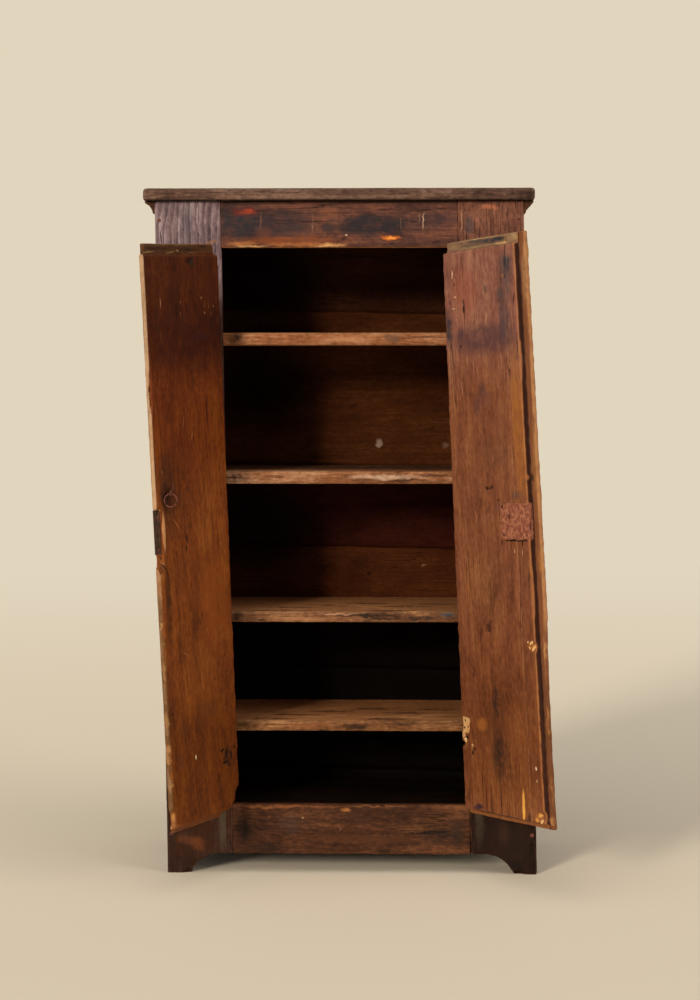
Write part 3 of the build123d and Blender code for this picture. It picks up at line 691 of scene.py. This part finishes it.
marks(bottom_rail, on_front, (
    (-268, 106, 30, 46, "#17100c", 85), (-215, 60, 64, 15, "#201612", 75),
    (-150, 120, 40, 30, "#3a2e2c", 50), (-190, 163, 110, 6, "#8a5430", 70),
    (-74, 164, 60, 5, "#7d4c2c", 70), (-15, 157, 17, 8, "#b27440", 75),
    (190, 103, 78, 4.5, "#080403", 100, -3), (225, 94, 44, 3, "#080403", 100, 6),
    (205, 96, 84, 24, "#1e140e", 70), (258, 96, 22, 44, "#2a1e16", 70), (20, 84, 200, 16, "#613a22", 45),
    (-120, 135, 3, 3, "#c0a080", 80), (-30, 110, 2, 2, "#c0a080", 80), (60, 165, 90, 3, "#8a5a36", 70),
))
rub_edges_shade_hollows(bottom_rail, "#84542f", 0.55)
print("rail finishes are ready")

# %% Stiles and rails
front_damage = {
    "bottom_rail": (8, ((-24, 171, 15, 22, 3.2, 2), (75, 168, 9, 12, 4, 3), (-18, 158, 6, 9, 6, 2),
                        (-150, 171, 40, 9, 2.5, 2), (190, 103, 60, 9.2, 1.4, 1, 4))),
    "frieze_rail": (-1, ((-30, 1549, 13, 3, 7, 3), (-8, 1541, 9, 4, 8, 3), (120, 1533, 26, 3, 4, 2),
                         (-200, 1533, 50, 3, 3, 2), (-23, 1551, 2.5, 8, 2.5, 0))),
    "left_stile": (0, ((-413, 1581, 2.6, 9, 2.6, 0), (-398, 4, 18, 9, 5, 3))),
    "right_stile": (0, ((404, 3, 22, 9, 5, 3), (440, 60, 5, 5, 22, 3))),
}
for node_name, wood, voxel, wear in (
    ("left_stile", left_stile, 3.6, 4), ("right_stile", right_stile, 3.6, 4),
    ("frieze_rail", frieze, 3.2, 4), ("bottom_rail", bottom_rail, 3.2, 5),
):
    worn(node_name, finish(wood, relief=0.8), voxel, wear,
         lumps_at(on_front, *front_damage[node_name]), wave=0.9)

# %% [markdown]
# The top was never stained as dark. Its edge has gone grey brown, with worm holes and knocks.
# The sides and the coves under the top share a plainer brown, and the back and the inside are
# almost black-red, stained once and painted darker still as the shade inside the case.

# %% Top, sides and coves
top_wood = pine("grey_brown_pine_top", "x", ("#281c17", "#594035", "#866a5b"), 5.1,
                rings=10, pith=(110, 30), grime=0.65, scuff=0.6)
# painted shade on the underside and lowest edge of the top board
beyond(top_wood, "z", 1655, 1650.5, "#1f1410", 0.85)
beyond(top_wood, "z", 1676, 1681, "#45342c", 0.6, broken=0.6)
marks(top_wood, on_front, [(x, z, half_width, 2.5, "#1b120e", 85) for x, z, half_width in (
    (-468, 1664, 6), (-390, 1668, 9), (-300, 1671, 7), (-214, 1663, 12), (-140, 1658, 9), (-60, 1667, 8),
    (45, 1672, 7), (130, 1665, 12), (185, 1669, 8), (250, 1656, 11), (330, 1664, 9), (392, 1670, 6),
    (430, 1658, 8),
)], deep=40)
rub_edges_shade_hollows(top_wood, "#9a7f6c", 0.6)
knocks = [(x, z, half_width, 6, half_height, 2) for x, z, half_width, half_height in (
    (-470, 1664, 5, 4), (-452, 1656, 7, 4), (-310, 1679, 9, 3), (-140, 1655, 9, 3), (45, 1679, 11, 2.5),
    (130, 1665, 5, 3), (185, 1678, 8, 3), (250, 1654, 11, 3), (330, 1663, 6, 3), (438, 1656, 6, 5),
)]
worn("top_board", finish(top_wood, rough=(0.65, 0.9), relief=0.9), 4.4, 5,
     lumps_at(on_front, -21, knocks), smooth=1)

SIDE_FACES = {"left": -486, "right": 454}
for number, (side, face) in enumerate(SIDE_FACES.items()):
    side_wood = pine(f"stained_pine_{side}_side", "z", ("#27150e", "#4c2c1b", "#744826"), 6.3 + number,
                     rings=12, pith=(40, 200 + 60 * number))
    marks(side_wood, lambda y, z: at(face, y, z), (
        (60, 1450, 160, 160, "#3e2a24", 60), (190, 60, 220, 90, "#22130c", 75),
        (120, 900, 60, 240, "#6d4226", 50), (280, 600, 40, 200, "#2e1a10", 50),
        (200, 1200, 80, 60, "#2b1a12", 50), (90, 420, 50, 120, "#6a3c20", 50),
    ), deep=160)
    rub_edges_shade_hollows(side_wood, "#8a5a3a", 0.6)
    worn(f"{side}_side_panel", finish(side_wood, relief=0.8), 6, 4, wave=1.2)
    cove_wood = pine(f"stained_pine_{side}_cove", "y", ("#1e110b", "#42271a", "#6b4229"), 8.2 + number,
                     rings=6)
    rub_edges_shade_hollows(cove_wood, "#7d5335", 0.7)
    worn(f"{side}_cornice_moulding", finish(cove_wood, relief=0.6), 2.6, 2.5, wave=0.2)

# %% [markdown]
# Shelves are handled most of all. Their front edges are rubbed to tan with darker smears, and
# each edge is painted dark at its left end as the shadow of the left stile. The two upper tops
# are painted dark behind the front as the shade of the shelf above, and the two lower ones,
# which are looked down on, are paler across the top and worn pale in streaks.

# %% Shelves
shelf_tones = {
    "shelf_1": ("#563019", "#945d3b", "#c0906c"), "shelf_2": ("#4c2b18", "#8d5a3a", "#c29674"),
    "shelf_3": ("#3c2519", "#7b5035", "#ab7e56"), "shelf_4": ("#382012", "#774c2d", "#b5865a"),
}
shelf_marks_and_shadows = {
    # the first mark of each shelf, dark at its left end, is a painted shadow of the left stile
    "shelf_1": ((-290, 1314, 24, 22, "#241208", 95), (98, 1314, 28, 15, "#574a42", 70),
                (-112, 1321, 3.5, 3.5, "#150b07", 95), (-20, 1310, 70, 8, "#c08a64", 50)),
    "shelf_2": ((-285, 968, 20, 20, "#2a160c", 80), (80, 970, 120, 9, "#d8b69c", 70),
                (150, 962, 90, 3, "#33201a", 80), (-120, 966, 60, 6, "#80543a", 60),
                (200, 974, 50, 4, "#3c2a22", 80), (20, 962, 40, 4, "#5a3a28", 70)),
    "shelf_3": ((-280, 625, 22, 18, "#241409", 80), (43, 629, 100, 8, "#1e1814", 100),
                (70, 620, 60, 4, "#2a201a", 90), (170, 622, 70, 8, "#2e2622", 90),
                (235, 630, 26, 8, "#4a4a52", 80), (-30, 632, 60, 3, "#c89a78", 70),
                (-120, 620, 80, 6, "#a87450", 60)),
    "shelf_4": ((-270, 356, 24, 18, "#241409", 70), (9, 354, 46, 12, "#1e1814", 95),
                (120, 360, 60, 4, "#33261e", 80), (-110, 356, 90, 7, "#8a5434", 60),
                (190, 356, 60, 8, "#8f6444", 50)),
}
worn_streaks = {"shelf_3": ((-19, 174), (22, 142), (63, 111), (104, 79), (145, 48)),
                "shelf_4": ((60, 92), (112, 102), (150, 90), (-90, 90), (-40, 110), (200, 120))}
for number, (node_name, tones) in enumerate(shelf_tones.items()):
    shelf_wood = pine(f"worn_pine_{node_name}", "x", tones, 10.4 + number * 1.3, rings=8, pith=(100, 25),
                      grime=0.6, scuff=0.6)
    low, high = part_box(node_name)
    if number < 2:  # the two upper shelves
        # painted shade: the upper tops darken further back, under the shelf above
        beyond(shelf_wood, "y", 60, 160, "#2a150b", 0.85, broken=0.3)
    else:
        beyond(shelf_wood, "y", 42, 50, "#b87c4e", 0.55, broken=0.5)
        for x, y in ((-150, 120), (-60, 170), (40, 210), (130, 150), (210, 200), (-200, 60), (90, 60)):
            mark(shelf_wood, at(x, y, high.z * 1000), (90, 20, 10), "#2a160c", 0.85, soft=0.7, ragged=0.05)
    for x, y in worn_streaks.get(node_name, ()):
        mark(shelf_wood, at(x, y, high.z * 1000), (60, 9, 10), "#d6a06c", 0.8, soft=0.8, ragged=0.04)
    marks(shelf_wood, on_shelf_edge, shelf_marks_and_shadows[node_name], deep=14)
    rub_edges_shade_hollows(shelf_wood, "#c9a073", 0.6)
    knocks = [
        ((low.x + share * (high.x - low.x) - middle) * 1000, z * 1000, half_width, 5, half_height, 2)
        for share, z, half_width, half_height in (
            (0.23, high.z, 9, 3), (0.36, low.z, 12, 2.5), (0.47, low.z, 14, 3), (0.61, high.z, 16, 3),
            (0.76, low.z, 10, 3), (0.83, high.z, 12, 2.5))
    ]
    worn(node_name, finish(shelf_wood, rough=(0.6, 0.85), relief=0.8), 4.2, 4,
         lumps_at(on_shelf_edge, -2, knocks))

# %% Floor, back and cleats
# the near-black tones of the floor and cleats are painted shade of the inside of the case
for name in ("cabinet_floor", "left_shelf_cleats", "right_shelf_cleats"):
    wood = pine(f"smoked_pine_{name}", "x" if name == "cabinet_floor" else "y",
                ("#070302", "#120a06", "#25150c"), 16.2 + len(name) / 10, scuff=0.2)
    rub_edges_shade_hollows(wood, "#5a3a26", 0.3)
    worn(name, finish(wood, relief=0.6, gloss=0.03), 4.5, 3)

back_tones = (
    ("#160905", "#381c0f", "#56311c"), ("#221009", "#47240f", "#683c22"), ("#140604", "#30110a", "#462012"),
    ("#1e0c05", "#43200e", "#603416"), ("#180a06", "#38200f", "#523018"), ("#140804", "#2e190e", "#472a18"),
)
back_marks = {
    1: ((62, 1041, 12, 15, "#b09a86", 80), (236, 1035, 14, 10, "#8a6c56", 50),
        (-30, 1118, 6, 22, "#3a2014", 60)),
    3: ((38, 697, 9, 7, "#1c0d07", 85), (181, 721, 12, 3, "#8f7256", 60, -30),
        (10, 730, 40, 20, "#2a150b", 60)),
}
for number, tones in enumerate(back_tones):
    wood = pine(f"smoked_pine_back_{number + 1}", "x", tones, 20.5 + number * 1.7,
                rings=12, pith=(95 + 25 * number, 30), figure=0.03, grime=0.4, scuff=0.15, calm=0.55)
    marks(wood, on_back, back_marks.get(number, ()), deep=30)
    # painted shade lies on the inside only, deepest at the left, behind the left door, and low down
    for z in (1480, 1200, 820, 500):
        mark(wood, on_back(-250, z), (270, 16, 210), "#040101", 0.9, soft=0.8, broken=0)
    mark(wood, on_back(0, 330), (1200, 16, 310), "#050201", 0.98, soft=0.25, broken=0)
    worn(f"back_board_{number + 1}", finish(wood, relief=0.35, gloss=0.03), 5, 2, wave=0.5)

# %% [markdown]
# ## The doors
# Each door is a single thick plank, rebated all round, so that its outer layer laps over the
# frame. Inside it is warm brown, polished by hands; its edges have worn back to pale raw wood,
# with a painted highlight on the edges that face the light and a painted shadow along the
# steps of the rebate.
# The left one has split away around the strike and lost its lower corner.

# %% Left door finish
left_wood = pine("handled_pine_left_door", "z", ("#411f0b", "#753a13", "#9c5b24"), 30.3,
                 rings=12, pith=(-60, 35), door="left", grime=0.5, scuff=0.35, calm=0.8)
shade(left_wood, on_left(150, 1500), (420, 60, 320), "#9a8354", soft=0.35)
shade(left_wood, on_left(150, 1200), (420, 60, 300), "#d8c09c", soft=0.6)
shade(left_wood, on_left(150, 300), (420, 60, 260), "#dcd692", soft=0.7)
marks(left_wood, on_left, (
    (200, 1319, 60, 14, "#2c1016", 50), (200, 690, 90, 140, "#8a4816", 60),
    (240, 1130, 40, 90, "#80440f", 35), (150, 500, 90, 160, "#7c4418", 35),
    (45, 960, 40, 150, "#351c0e", 75), (28, 700, 16, 150, "#2c190b", 70),
    (175, 1501, 16, 12, "#1c0c06", 90), (186, 1500, 9, 26, "#200e07", 80),
    (166, 1215, 6, 20, "#34150c", 80), (213, 1140, 7, 54, "#3b120b", 85), (207, 1075, 4, 22, "#3b120b", 80),
    (110, 846, 4.5, 20, "#1c0d07", 90), (106, 820, 4.5, 12, "#1c0d07", 85), (28, 857, 3, 38, "#1a0e08", 85),
    (216, 662, 1.8, 24, "#3a0f08", 90), (153, 659, 5, 5, "#2a150b", 80),
    (190, 497, 9, 3.5, "#2a150c", 85, 20), (62, 400, 34, 22, "#4a2812", 50),
    (170, 430, 34, 26, "#522c12", 50), (44, 330, 18, 24, "#4a2a16", 60), (222, 304, 26, 30, "#2e180c", 70),
    (41, 955, 34, 34, "#28130a", 85),
))
marks(left_wood, on_left, (
    (204, 322, 9, 4, "#0e0603", 100, 20), (220, 311, 5, 17, "#0e0603", 100, -12),
    (238, 303, 4.5, 13, "#0e0603", 100, 10), (214, 290, 15, 4, "#0e0603", 100, -8),
    (250, 320, 6, 3.5, "#140804", 90), (230, 282, 5, 7, "#140804", 90),
), soft=0.5, ragged=0.02, broken=0.1)
marks(left_wood, on_left, (
    (58, 1404, 1.7, 17, "#b58458", 90), (133, 1374, 1.6, 14, "#85573a", 50),
    (226, 1396, 1.6, 10, "#8e6040", 60, 4), (244, 1390, 1.6, 9, "#8e6040", 60, -3),
    (250, 1374, 1.6, 7, "#8e6040", 50), (53, 1325, 1.4, 26, "#80502c", 50),
    (74, 884, 2.2, 23, "#a86630", 90, 40), (100, 327, 3, 8, "#ecd4ae", 95),
    (133, 1404, 2, 5, "#9a6640", 70), (131, 1376, 2, 5, "#9a6640", 70), (215, 1412, 4, 4, "#a8744a", 70),
    (262, 1392, 2, 5, "#a8744a", 70), (226, 1376, 4, 4, "#a8744a", 70), (30, 1010, 5, 7, "#7c5434", 70),
    (120, 1120, 1.4, 20, "#b07a48", 50, -8), (150, 1085, 1.2, 14, "#c08a58", 50, -30),
    (84, 575, 1.5, 12, "#c0905c", 50, 60),
), ragged=0.006, broken=0.3)
beyond(left_wood, "z", FACE_TOP, FACE_TOP + 1.5, "#4a341f", 0.65, broken=0.2)
marks(left_wood, on_left_lip, (
    (70, 1533, 60, 5, "#1c110a", 80), (190, 1529, 70, 6, "#241609", 75), (250, 1536, 24, 5, "#1e130b", 80),
    (40, 1524, 30, 3, "#8a6a40", 80), (120, 1523, 26, 3, "#8f6c42", 70, 6),
    (150, 1526, 6, 3, "#b08a58", 80), (210, 1523, 30, 2, "#7a5c38", 70),
    (140, 1541, 130, 2.5, "#7a6038", 60), (8, 1534, 10, 16, "#a88052", 80),
), deep=9, ragged=0.012, broken=0.5)
beyond(left_wood, "z", FACE_BOTTOM + 2, FACE_BOTTOM - 0.5, "#65391a", 0.85, broken=0.3)
# painted shadow and grime: a near-black line along the step above the bottom lip
mark(left_wood, on_left(150, FACE_BOTTOM + 1), (150, 20, 2.6), "#120704", 1,
     soft=0.5, ragged=0.004, broken=0.2)
# the free edge is pale, worn raw wood with a painted highlight where it faces the light
beyond(left_wood, "x", LEFT_FREE - 5, LEFT_FREE - 2.5, "#bd9a78", 0.95, broken=0.25)
mark(left_wood, on_left(0, 460), (10, 40, 340), "#62401f", 0.95, soft=0.3, broken=0.3)
marks(left_wood, on_left, (
    (0, 645, 6, 20, "#b08458", 80), (0, 600, 5, 30, "#8e683f", 80), (1, 540, 5, 34, "#9c7044", 80),
    (0, 430, 6, 30, "#a0774a", 80), (2, 350, 8, 34, "#b98454", 80), (3, 285, 6, 24, "#b88a58", 80),
), ragged=0.04, broken=0.7)
mark(left_wood, on_left(25.5, 872, 8), (7, 10, 60), "#c08a5a", 1, soft=0.35, ragged=0.004, broken=0.1)
# painted shadow on the floor of the recess beside the strike
mark(left_wood, on_left(17, 860, 2), (6, 5, 66), "#170b06", 1, soft=0.4, broken=0)
marks(left_wood, on_left, (
    (4, 196, 12, 26, "#8e5a30", 85), (8, 205, 5, 14, "#b8824a", 85), (13, 182, 16, 7, "#8c5428", 80),
    (7, 922, 11, 2.6, "#d0a070", 95), (2, 778, 13, 26, "#9c6c46", 90), (0, 745, 7, 26, "#8b5c38", 80),
    # the two dark patches here are painted shade in the torn hollow below the strike
    (5, 806, 11, 20, "#2a1d14", 90), (12, 792, 7, 16, "#1c110a", 85, 24),
    (20, 800, 3, 10, "#8c5c34", 70, 24),
), ragged=0.008, broken=0.2)
mark(left_wood, on_left(23, 786), (2.4, 20, 30), "#120805", 0.97, soft=0.5, ragged=0.008, turn=28, broken=0)
rub_edges_shade_hollows(left_wood, "#8e5c32", 0.5)
print("left door finish is ready")

# %% Left door
damage = lumps_at(on_left, 0, (
    (6, 802, 10, 12, 30, 3, -14), (14, 866, 3, 9, 46, 2, 3), (23, 784, 2.6, 8, 32, 1, 28),
    (0, 1200, 5, 8, 60, 4), (0, 610, 5, 8, 90, 4), (0, 330, 6, 8, 60, 5), (0, 200, 8, 12, 26, 5),
    (178, 1502, 12, 3.5, 9, 4), (228, 318, 4, 4, 16, 3), (214, 292, 9, 4, 4, 3, 10),
    (264, 200, 16, 22, 22, 7), (110, 846, 2.4, 3, 20, 1), (60, 1546, 20, 9, 3, 2),
    (190, 1545, 30, 9, 2.5, 2), (291, 1000, 3, 6, 50, 3), (292, 330, 6, 7, 26, 5),
))
worn("left_door_plank", finish(left_wood, rough=(0.45, 0.75), relief=0.7, gloss=0.14), 3.3, 5,
     damage, door="left", wave=1.0)

# %% [markdown]
# The right door is a wide plank with a strip glued along its free edge. Light has faded it to a
# red purple at the top. The joint of the strip has opened, and there are old repairs: a patch
# near the lower hinge, a pale splinter scar and a purple ink stain at the foot.

# %% Right door finish
def right_door_wood(name, seed):
    """The finish of the right door, shared by the plank and its strip."""
    wood = pine(name, "z", ("#553226", "#87574a", "#ac7c62"), seed, rings=12, pith=(-70, 40), door="right",
                grime=0.5, scuff=0.5, calm=0.8)
    shade(wood, on_right(150, 700), (500, 90, 700), "#e6d4ac", soft=0.35)
    shade(wood, on_right(150, 300), (500, 90, 460), "#e8dcb8", soft=0.8)
    marks(wood, on_right, (
        (200, 1420, 70, 90, "#8c4c38", 55), (125, 1302, 180, 52, "#50373a", 85),
        (36, 1470, 34, 46, "#3e3a40", 95), (40, 1420, 26, 50, "#5a4848", 70),
        (52, 1345, 30, 66, "#4a3c42", 80), (272, 1335, 22, 56, "#2f2e36", 97),
        (225, 1320, 16, 20, "#45363c", 80), (90, 1080, 30, 120, "#80503a", 40),
        (160, 360, 50, 160, "#4a2a18", 50), (222, 381, 30, 24, "#9c5f2a", 70),
        (135, 949, 11, 7, "#241410", 85), (174, 616, 13, 13, "#2c1a15", 80),
        (66, 1406, 15, 22, "#4c4444", 80), (150, 1180, 24, 24, "#4a3436", 70),
        (120, 1420, 12, 22, "#4e443e", 60), (175, 1140, 16, 30, "#4a3638", 60),
        (150, 1160, 60, 30, "#6a4238", 50), (215, 1300, 40, 40, "#5c3c3c", 50),
        (260, 1397, 5, 7, "#241210", 85), (207, 1391, 4, 15, "#1e0f0c", 90, 4),
        (251, 182, 30, 9, "#291a2e", 95, 8), (240, 970, 20, 26, "#5e3420", 50),
        (120, 760, 26, 90, "#5c3420", 40), (246, 700, 30, 60, "#8f5730", 40),
        (294, 340, 18, 26, "#8a5c36", 80), (262, 322, 12, 13, "#8a5c34", 70),
        (30, 800, 22, 60, "#6b4226", 40), (14, 583, 15, 15, "#a0652c", 85),
        (22, 186, 17, 17, "#a0642c", 85),
    ))
    marks(wood, on_right, (
        (165, 440, 18, 60, "#2a1c16", 80), (165, 320, 34, 60, "#2a1c16", 85),
        (150, 300, 50, 90, "#3c2416", 60), (172, 616, 16, 16, "#2c1a15", 80),
        (120, 1030, 90, 60, "#65402c", 50), (160, 700, 60, 120, "#5e3822", 50),
    ), ragged=0.06, broken=0.75)
    marks(wood, on_right, (
        (282, 387, 16, 11, "#c89c68", 100), (294, 387, 13, 11, "#c89c68", 100),
        (283, 369, 13, 15, "#be8f5c", 100), (295, 368, 11, 15, "#c89c68", 100),
        (300, 352, 10, 10, "#c4986a", 90), (292, 338, 6, 6, "#d8b07c", 90),
        (14, 590, 9, 4, "#e6bd80", 95, 30), (8, 578, 4, 9, "#e0b070", 95, -20),
        (20, 578, 6, 3, "#dca868", 90, -40), (26, 590, 3, 3, "#e8c896", 90),
        (16, 192, 8, 5, "#d8a058", 90, 30), (28, 180, 8, 6, "#cc9048", 90), (12, 176, 4, 6, "#e0b478", 90),
        (22, 299, 2.4, 5, "#e4cca4", 80), (20, 270, 2, 4, "#d8bc90", 70), (264, 328, 4, 4, "#dcb47c", 80),
        (290, 386, 3.5, 4.5, "#1c0f08", 100), (279, 371, 3, 3, "#2c180c", 100),
        (294, 368, 4, 4, "#2c180c", 100), (286, 345, 7, 6, "#1e0f08", 100),
        (300, 330, 6, 7, "#1a0d07", 100), (258, 320, 8, 4, "#1e0f08", 100, 20),
        (264, 311, 4, 6, "#1e0f08", 100), (81, 884, 5.5, 10, "#050302", 100),
        # painted shadow: the long near-black line at 826 lies under the lock plate
        (52, 826, 56, 2.4, "#0e0503", 100), (106, 820, 2.4, 9, "#0e0503", 100),
        (28, 820, 2.4, 9, "#0e0503", 100), (26, 921, 2, 9, "#0e0503", 100, 10),
        (112, 921, 4, 4, "#0e0503", 90), (40, 932, 24, 12, "#5c4038", 70),
        (115, 905, 10, 16, "#6a4438", 60), (150, 949, 9, 5, "#1e100c", 95), (132, 953, 3, 4, "#1e100c", 95),
    ), soft=0.35, ragged=0.012, broken=0.15)
    marks(wood, on_right, (
        (77, 206, 5.5, 50, "#dda24c", 97, -4), (121, 1351, 2, 17, "#c8946e", 90, -14),
        (246, 1464, 2.4, 13, "#ecc8a0", 90, -6), (238, 1410, 5, 3, "#d8a88c", 90),
        (248, 1382, 7, 2.6, "#c89a80", 90), (207, 1378, 5, 14, "#1a0c09", 100, 2),
        (126, 1412, 2, 7, "#c8946e", 80), (240, 1440, 4, 6, "#2a1612", 80),
        (225, 1290, 4, 5, "#1e0f0c", 90), (13, 1391, 2.8, 17, "#140a07", 97, -12),
        (37, 1490, 1.5, 48, "#100806", 97, -7), (43, 1443, 4, 4, "#0a0504", 97),
        (50, 1447, 4, 3, "#b0703e", 70), (70, 1245, 1.4, 26, "#c49272", 50, 3),
        (180, 1240, 1.3, 30, "#c49272", 40, -4), (230, 1190, 1.5, 24, "#d0a080", 50, 6),
        (150, 1140, 1.3, 18, "#3a2018", 60), (60, 800, 1.4, 8, "#dcb890", 80),
        (45, 802, 1.4, 7, "#dcb890", 80), (30, 798, 1.4, 9, "#dcb890", 70),
        (200, 880, 1.4, 20, "#c49068", 50, 12),
    ), soft=0.5, ragged=0.006, broken=0.2)
    beyond(wood, "z", FACE_TOP, FACE_TOP + 1.5, "#7c644c", 0.85, broken=0.3)
    marks(wood, on_right_lip, (
        (110, 1535, 80, 9, "#34323a", 95), (170, 1538, 40, 6, "#4a4440", 90),
        (225, 1536, 24, 7, "#5a4a3c", 80), (70, 1537, 24, 6, "#2c2b30", 95),
        (190, 1530, 60, 6, "#5e5044", 80), (20, 1534, 40, 12, "#a88a64", 85),
        (250, 1532, 40, 9, "#957a5c", 70), (288, 1522, 12, 12, "#b57a48", 80),
        (150, 1524, 130, 3, "#a0825e", 60), (60, 1524, 40, 5, "#c8a06c", 80),
        (160, 1543, 130, 2.4, "#b09468", 70),
    ), deep=9, ragged=0.012, broken=0.5)
    beyond(wood, "z", FACE_BOTTOM + 2, FACE_BOTTOM - 0.5, "#86522a", 0.85, broken=0.3)
    # painted shadow and grime: a near-black line along the step above the bottom lip
    mark(wood, on_right(150, FACE_BOTTOM + 1), (160, 20, 2.4), "#140805", 1,
         soft=0.5, ragged=0.004, broken=0.3)
    return wood


# %% Right door plank
right_wood = right_door_wood("faded_pine_right_door", 41.7)
rub_edges_shade_hollows(right_wood, "#b98058", 0.6)
damage = lumps_at(on_right, 0, (
    (74, 205, 5, 3.5, 46, 1, 4), (207, 1391, 3.5, 3, 14, 2), (88, 865, 2, 6, 2, 0),
    (309, 1330, 4, 6, 30, 3), (309, 1400, 5, 6, 10, 3), (290, 384, 3.5, 6, 5, 2), (286, 345, 8, 4, 7, 3),
    (300, 330, 8, 5, 8, 3), (259, 318, 8, 3, 8, 3), (308, 700, 3, 6, 80, 3), (120, 1546, 26, 8, 3, 2),
    (165, 300, 5, 2.2, 26, 2),
))
hinge_mortise = lump(on_right(287, 377), (18, 2, 19), rough=1, boxy=True)
worn("right_door_plank", finish(right_wood, rough=(0.5, 0.8), relief=0.8, gloss=0.12), 3.2, 5,
     damage + [hinge_mortise], door="right", wave=1.0)

# %% [markdown]
# Along the strip's free edge a lip stands out that covers the other door. The step behind it
# is painted near-black as its shadow, and its crest is worn pale and painted with highlights.

# %% Right door strip
strip_wood = right_door_wood("faded_pine_meeting_strip", 44.2)
mark(strip_wood, on_right(22, 1090), (28, 60, 230), "#a0642f", 0.7, soft=0.6, broken=0.5)
beyond(strip_wood, "x", -16, -21, "#a86c3a", 0.55, broken=0.6)
# painted shadow: the near-black band is the step behind the lip, in its shade
beyond(strip_wood, "x", -22.2, -23.2, "#2c1109", 0.96)
beyond(strip_wood, "x", -25.5, -27.5, "#7c4c30", 0.97, broken=0.1)
# the lip's crest is worn pale, with a painted highlight
beyond(strip_wood, "x", -40, -43.5, "#ad7c50", 0.75, broken=0.5)
marks(strip_wood, on_right, (
    (-14, 1440, 11, 120, "#c49868", 75), (-14, 1240, 8, 60, "#6e4430", 60),
    (-14, 1000, 10, 150, "#a4713f", 60), (-5, 972, 8, 16, "#0c0604", 97), (-14, 780, 8, 50, "#b5773b", 70),
    (-16, 640, 8, 40, "#96602f", 50), (-14, 330, 16, 380, "#4a2812", 100),
    (-14, 330, 15, 340, "#54300f", 70), (-18, 200, 6, 34, "#8a5a30", 60), (-12, 390, 4, 26, "#a8743c", 80),
    (-12, 520, 4, 40, "#8a5428", 70), (-10, 300, 4, 20, "#8a5428", 70),
), deep=30, broken=0.5)
# painted highlights along the lip low down, on wood worn pale
marks(strip_wood, on_right, (
    (-13, 575, 4, 50, "#b98350", 90), (-11, 420, 3.5, 44, "#a9743f", 85), (-11, 250, 4, 60, "#9c6a3c", 85),
    (-8, 180, 8, 16, "#c08c58", 80),
), deep=30, broken=0.3)
rub_edges_shade_hollows(strip_wood, "#b07c50", 0.6)
damage = lumps_at(on_right, 0, (
    (1, 186, 14, 8, 16, 6), (4, 580, 8, 5, 11, 4), (43, 1443, 3.5, 8, 3.5, 0), (13, 1391, 3, 4, 15, 2, 12),
    (-5, 972, 7, 14, 13, 4), (0, 1250, 3.5, 6, 60, 3), (0, 700, 3.5, 6, 70, 4),
    (37, 1490, 1.6, 4, 46, 0.5, 7),
))
lip_damage = lumps_at(on_right, -14, (
    (-23, 1300, 4, 8, 90, 4), (-24, 760, 4, 8, 90, 4), (-23, 1100, 5, 7, 30, 5), (-33, 330, 22, 34, 420, 2),
))
worn("right_door_meeting_strip", finish(strip_wood, rough=(0.5, 0.8), relief=0.7, gloss=0.14), 2.7, 5,
     damage + lip_damage, door="right", wave=0.8)

# %% [markdown]
# ## Iron
# Hinges, nails, strike and ring are wrought iron, hammered by a smith and gone brown black.
# The lock plate has rusted to terracotta, and its thin edge has been eaten uneven. Old iron has
# no bright metal left: it is a dark rough oxide, so it is mostly not metallic, with blotches of
# red rust.

# %% Iron finishes
HAMMER_DEPTH = 0.0008


def iron(name, dark, rust, pit, amount, metallic=0.3):
    """Forged iron with blotches of rust and a hammered surface."""
    material, tree, place = blank(name)
    # rust blooms are 5 to 10 mm wide, pits about 1.5 mm
    bloom = noise(tree, place, 9, 6, 0.65)
    pits = noise(tree, place, 1.5, 3)
    rusted = mapped(tree, bloom, 0.60 - amount / 2, 0.70 - amount / 3)
    colour = mixed(tree, rusted, linear(dark), rust)
    colour = mixed(tree, mapped(tree, pits, 0.5, 0.72, 0, pit), colour, "#1a100d")
    height = added(tree, pits, 0.5, bloom)
    roughness = mapped(tree, rusted, 0, 1, 0.55, 0.9)
    surfaced(tree, colour, roughness, height, 0.7, HAMMER_DEPTH, 0.3, metallic)
    return material


forged = iron("forged_iron", "#1c0f0b", "#7a4838", 0.38, 0.45)
strike_iron = iron("smoked_iron", "#241811", "#4c3426", 0.4, 0.5, metallic=0)
plate_iron = iron("rusted_sheet_iron", "#7c4535", "#a2674c", 0.3, 0.35, metallic=0)
irons = {"forged_iron": forged, "rusted_iron": plate_iron}
for node_name, piece in frame["nodes"].items():
    metal = strike_iron if node_name == "strike_plate" else irons.get(slots[node_name])
    if metal:
        piece.data.materials.clear()
        piece.data.materials.append(metal)
print("iron is dressed")

# %% Lock plate
board = copied("lock_plate")
board.data.transform(shut["right"])
carve(board, lumps_at(on_right, 0, (
    (110, 918, 30, 6, 13, 3), (60, 917, 26, 6, 3.5, 2), (20, 916, 14, 6, 3, 2), (107, 866, 2.5, 6, 16, 2),
    (104, 829, 5, 6, 4, 2), (50, 828, 20, 6, 2, 1),
)))
PLATE_VOXEL = 0.8
DENT = 0.8
step = PLATE_VOXEL * 1 / 1000
apply_modifier(board, "REMESH", mode="VOXEL", voxel_size=step)
displace(board, dents, DENT, 0.6)
board.data.transform(shut["right"].inverted())
only(board)
bpy.ops.object.shade_smooth()
dress(board, "lock_plate", plate_iron)
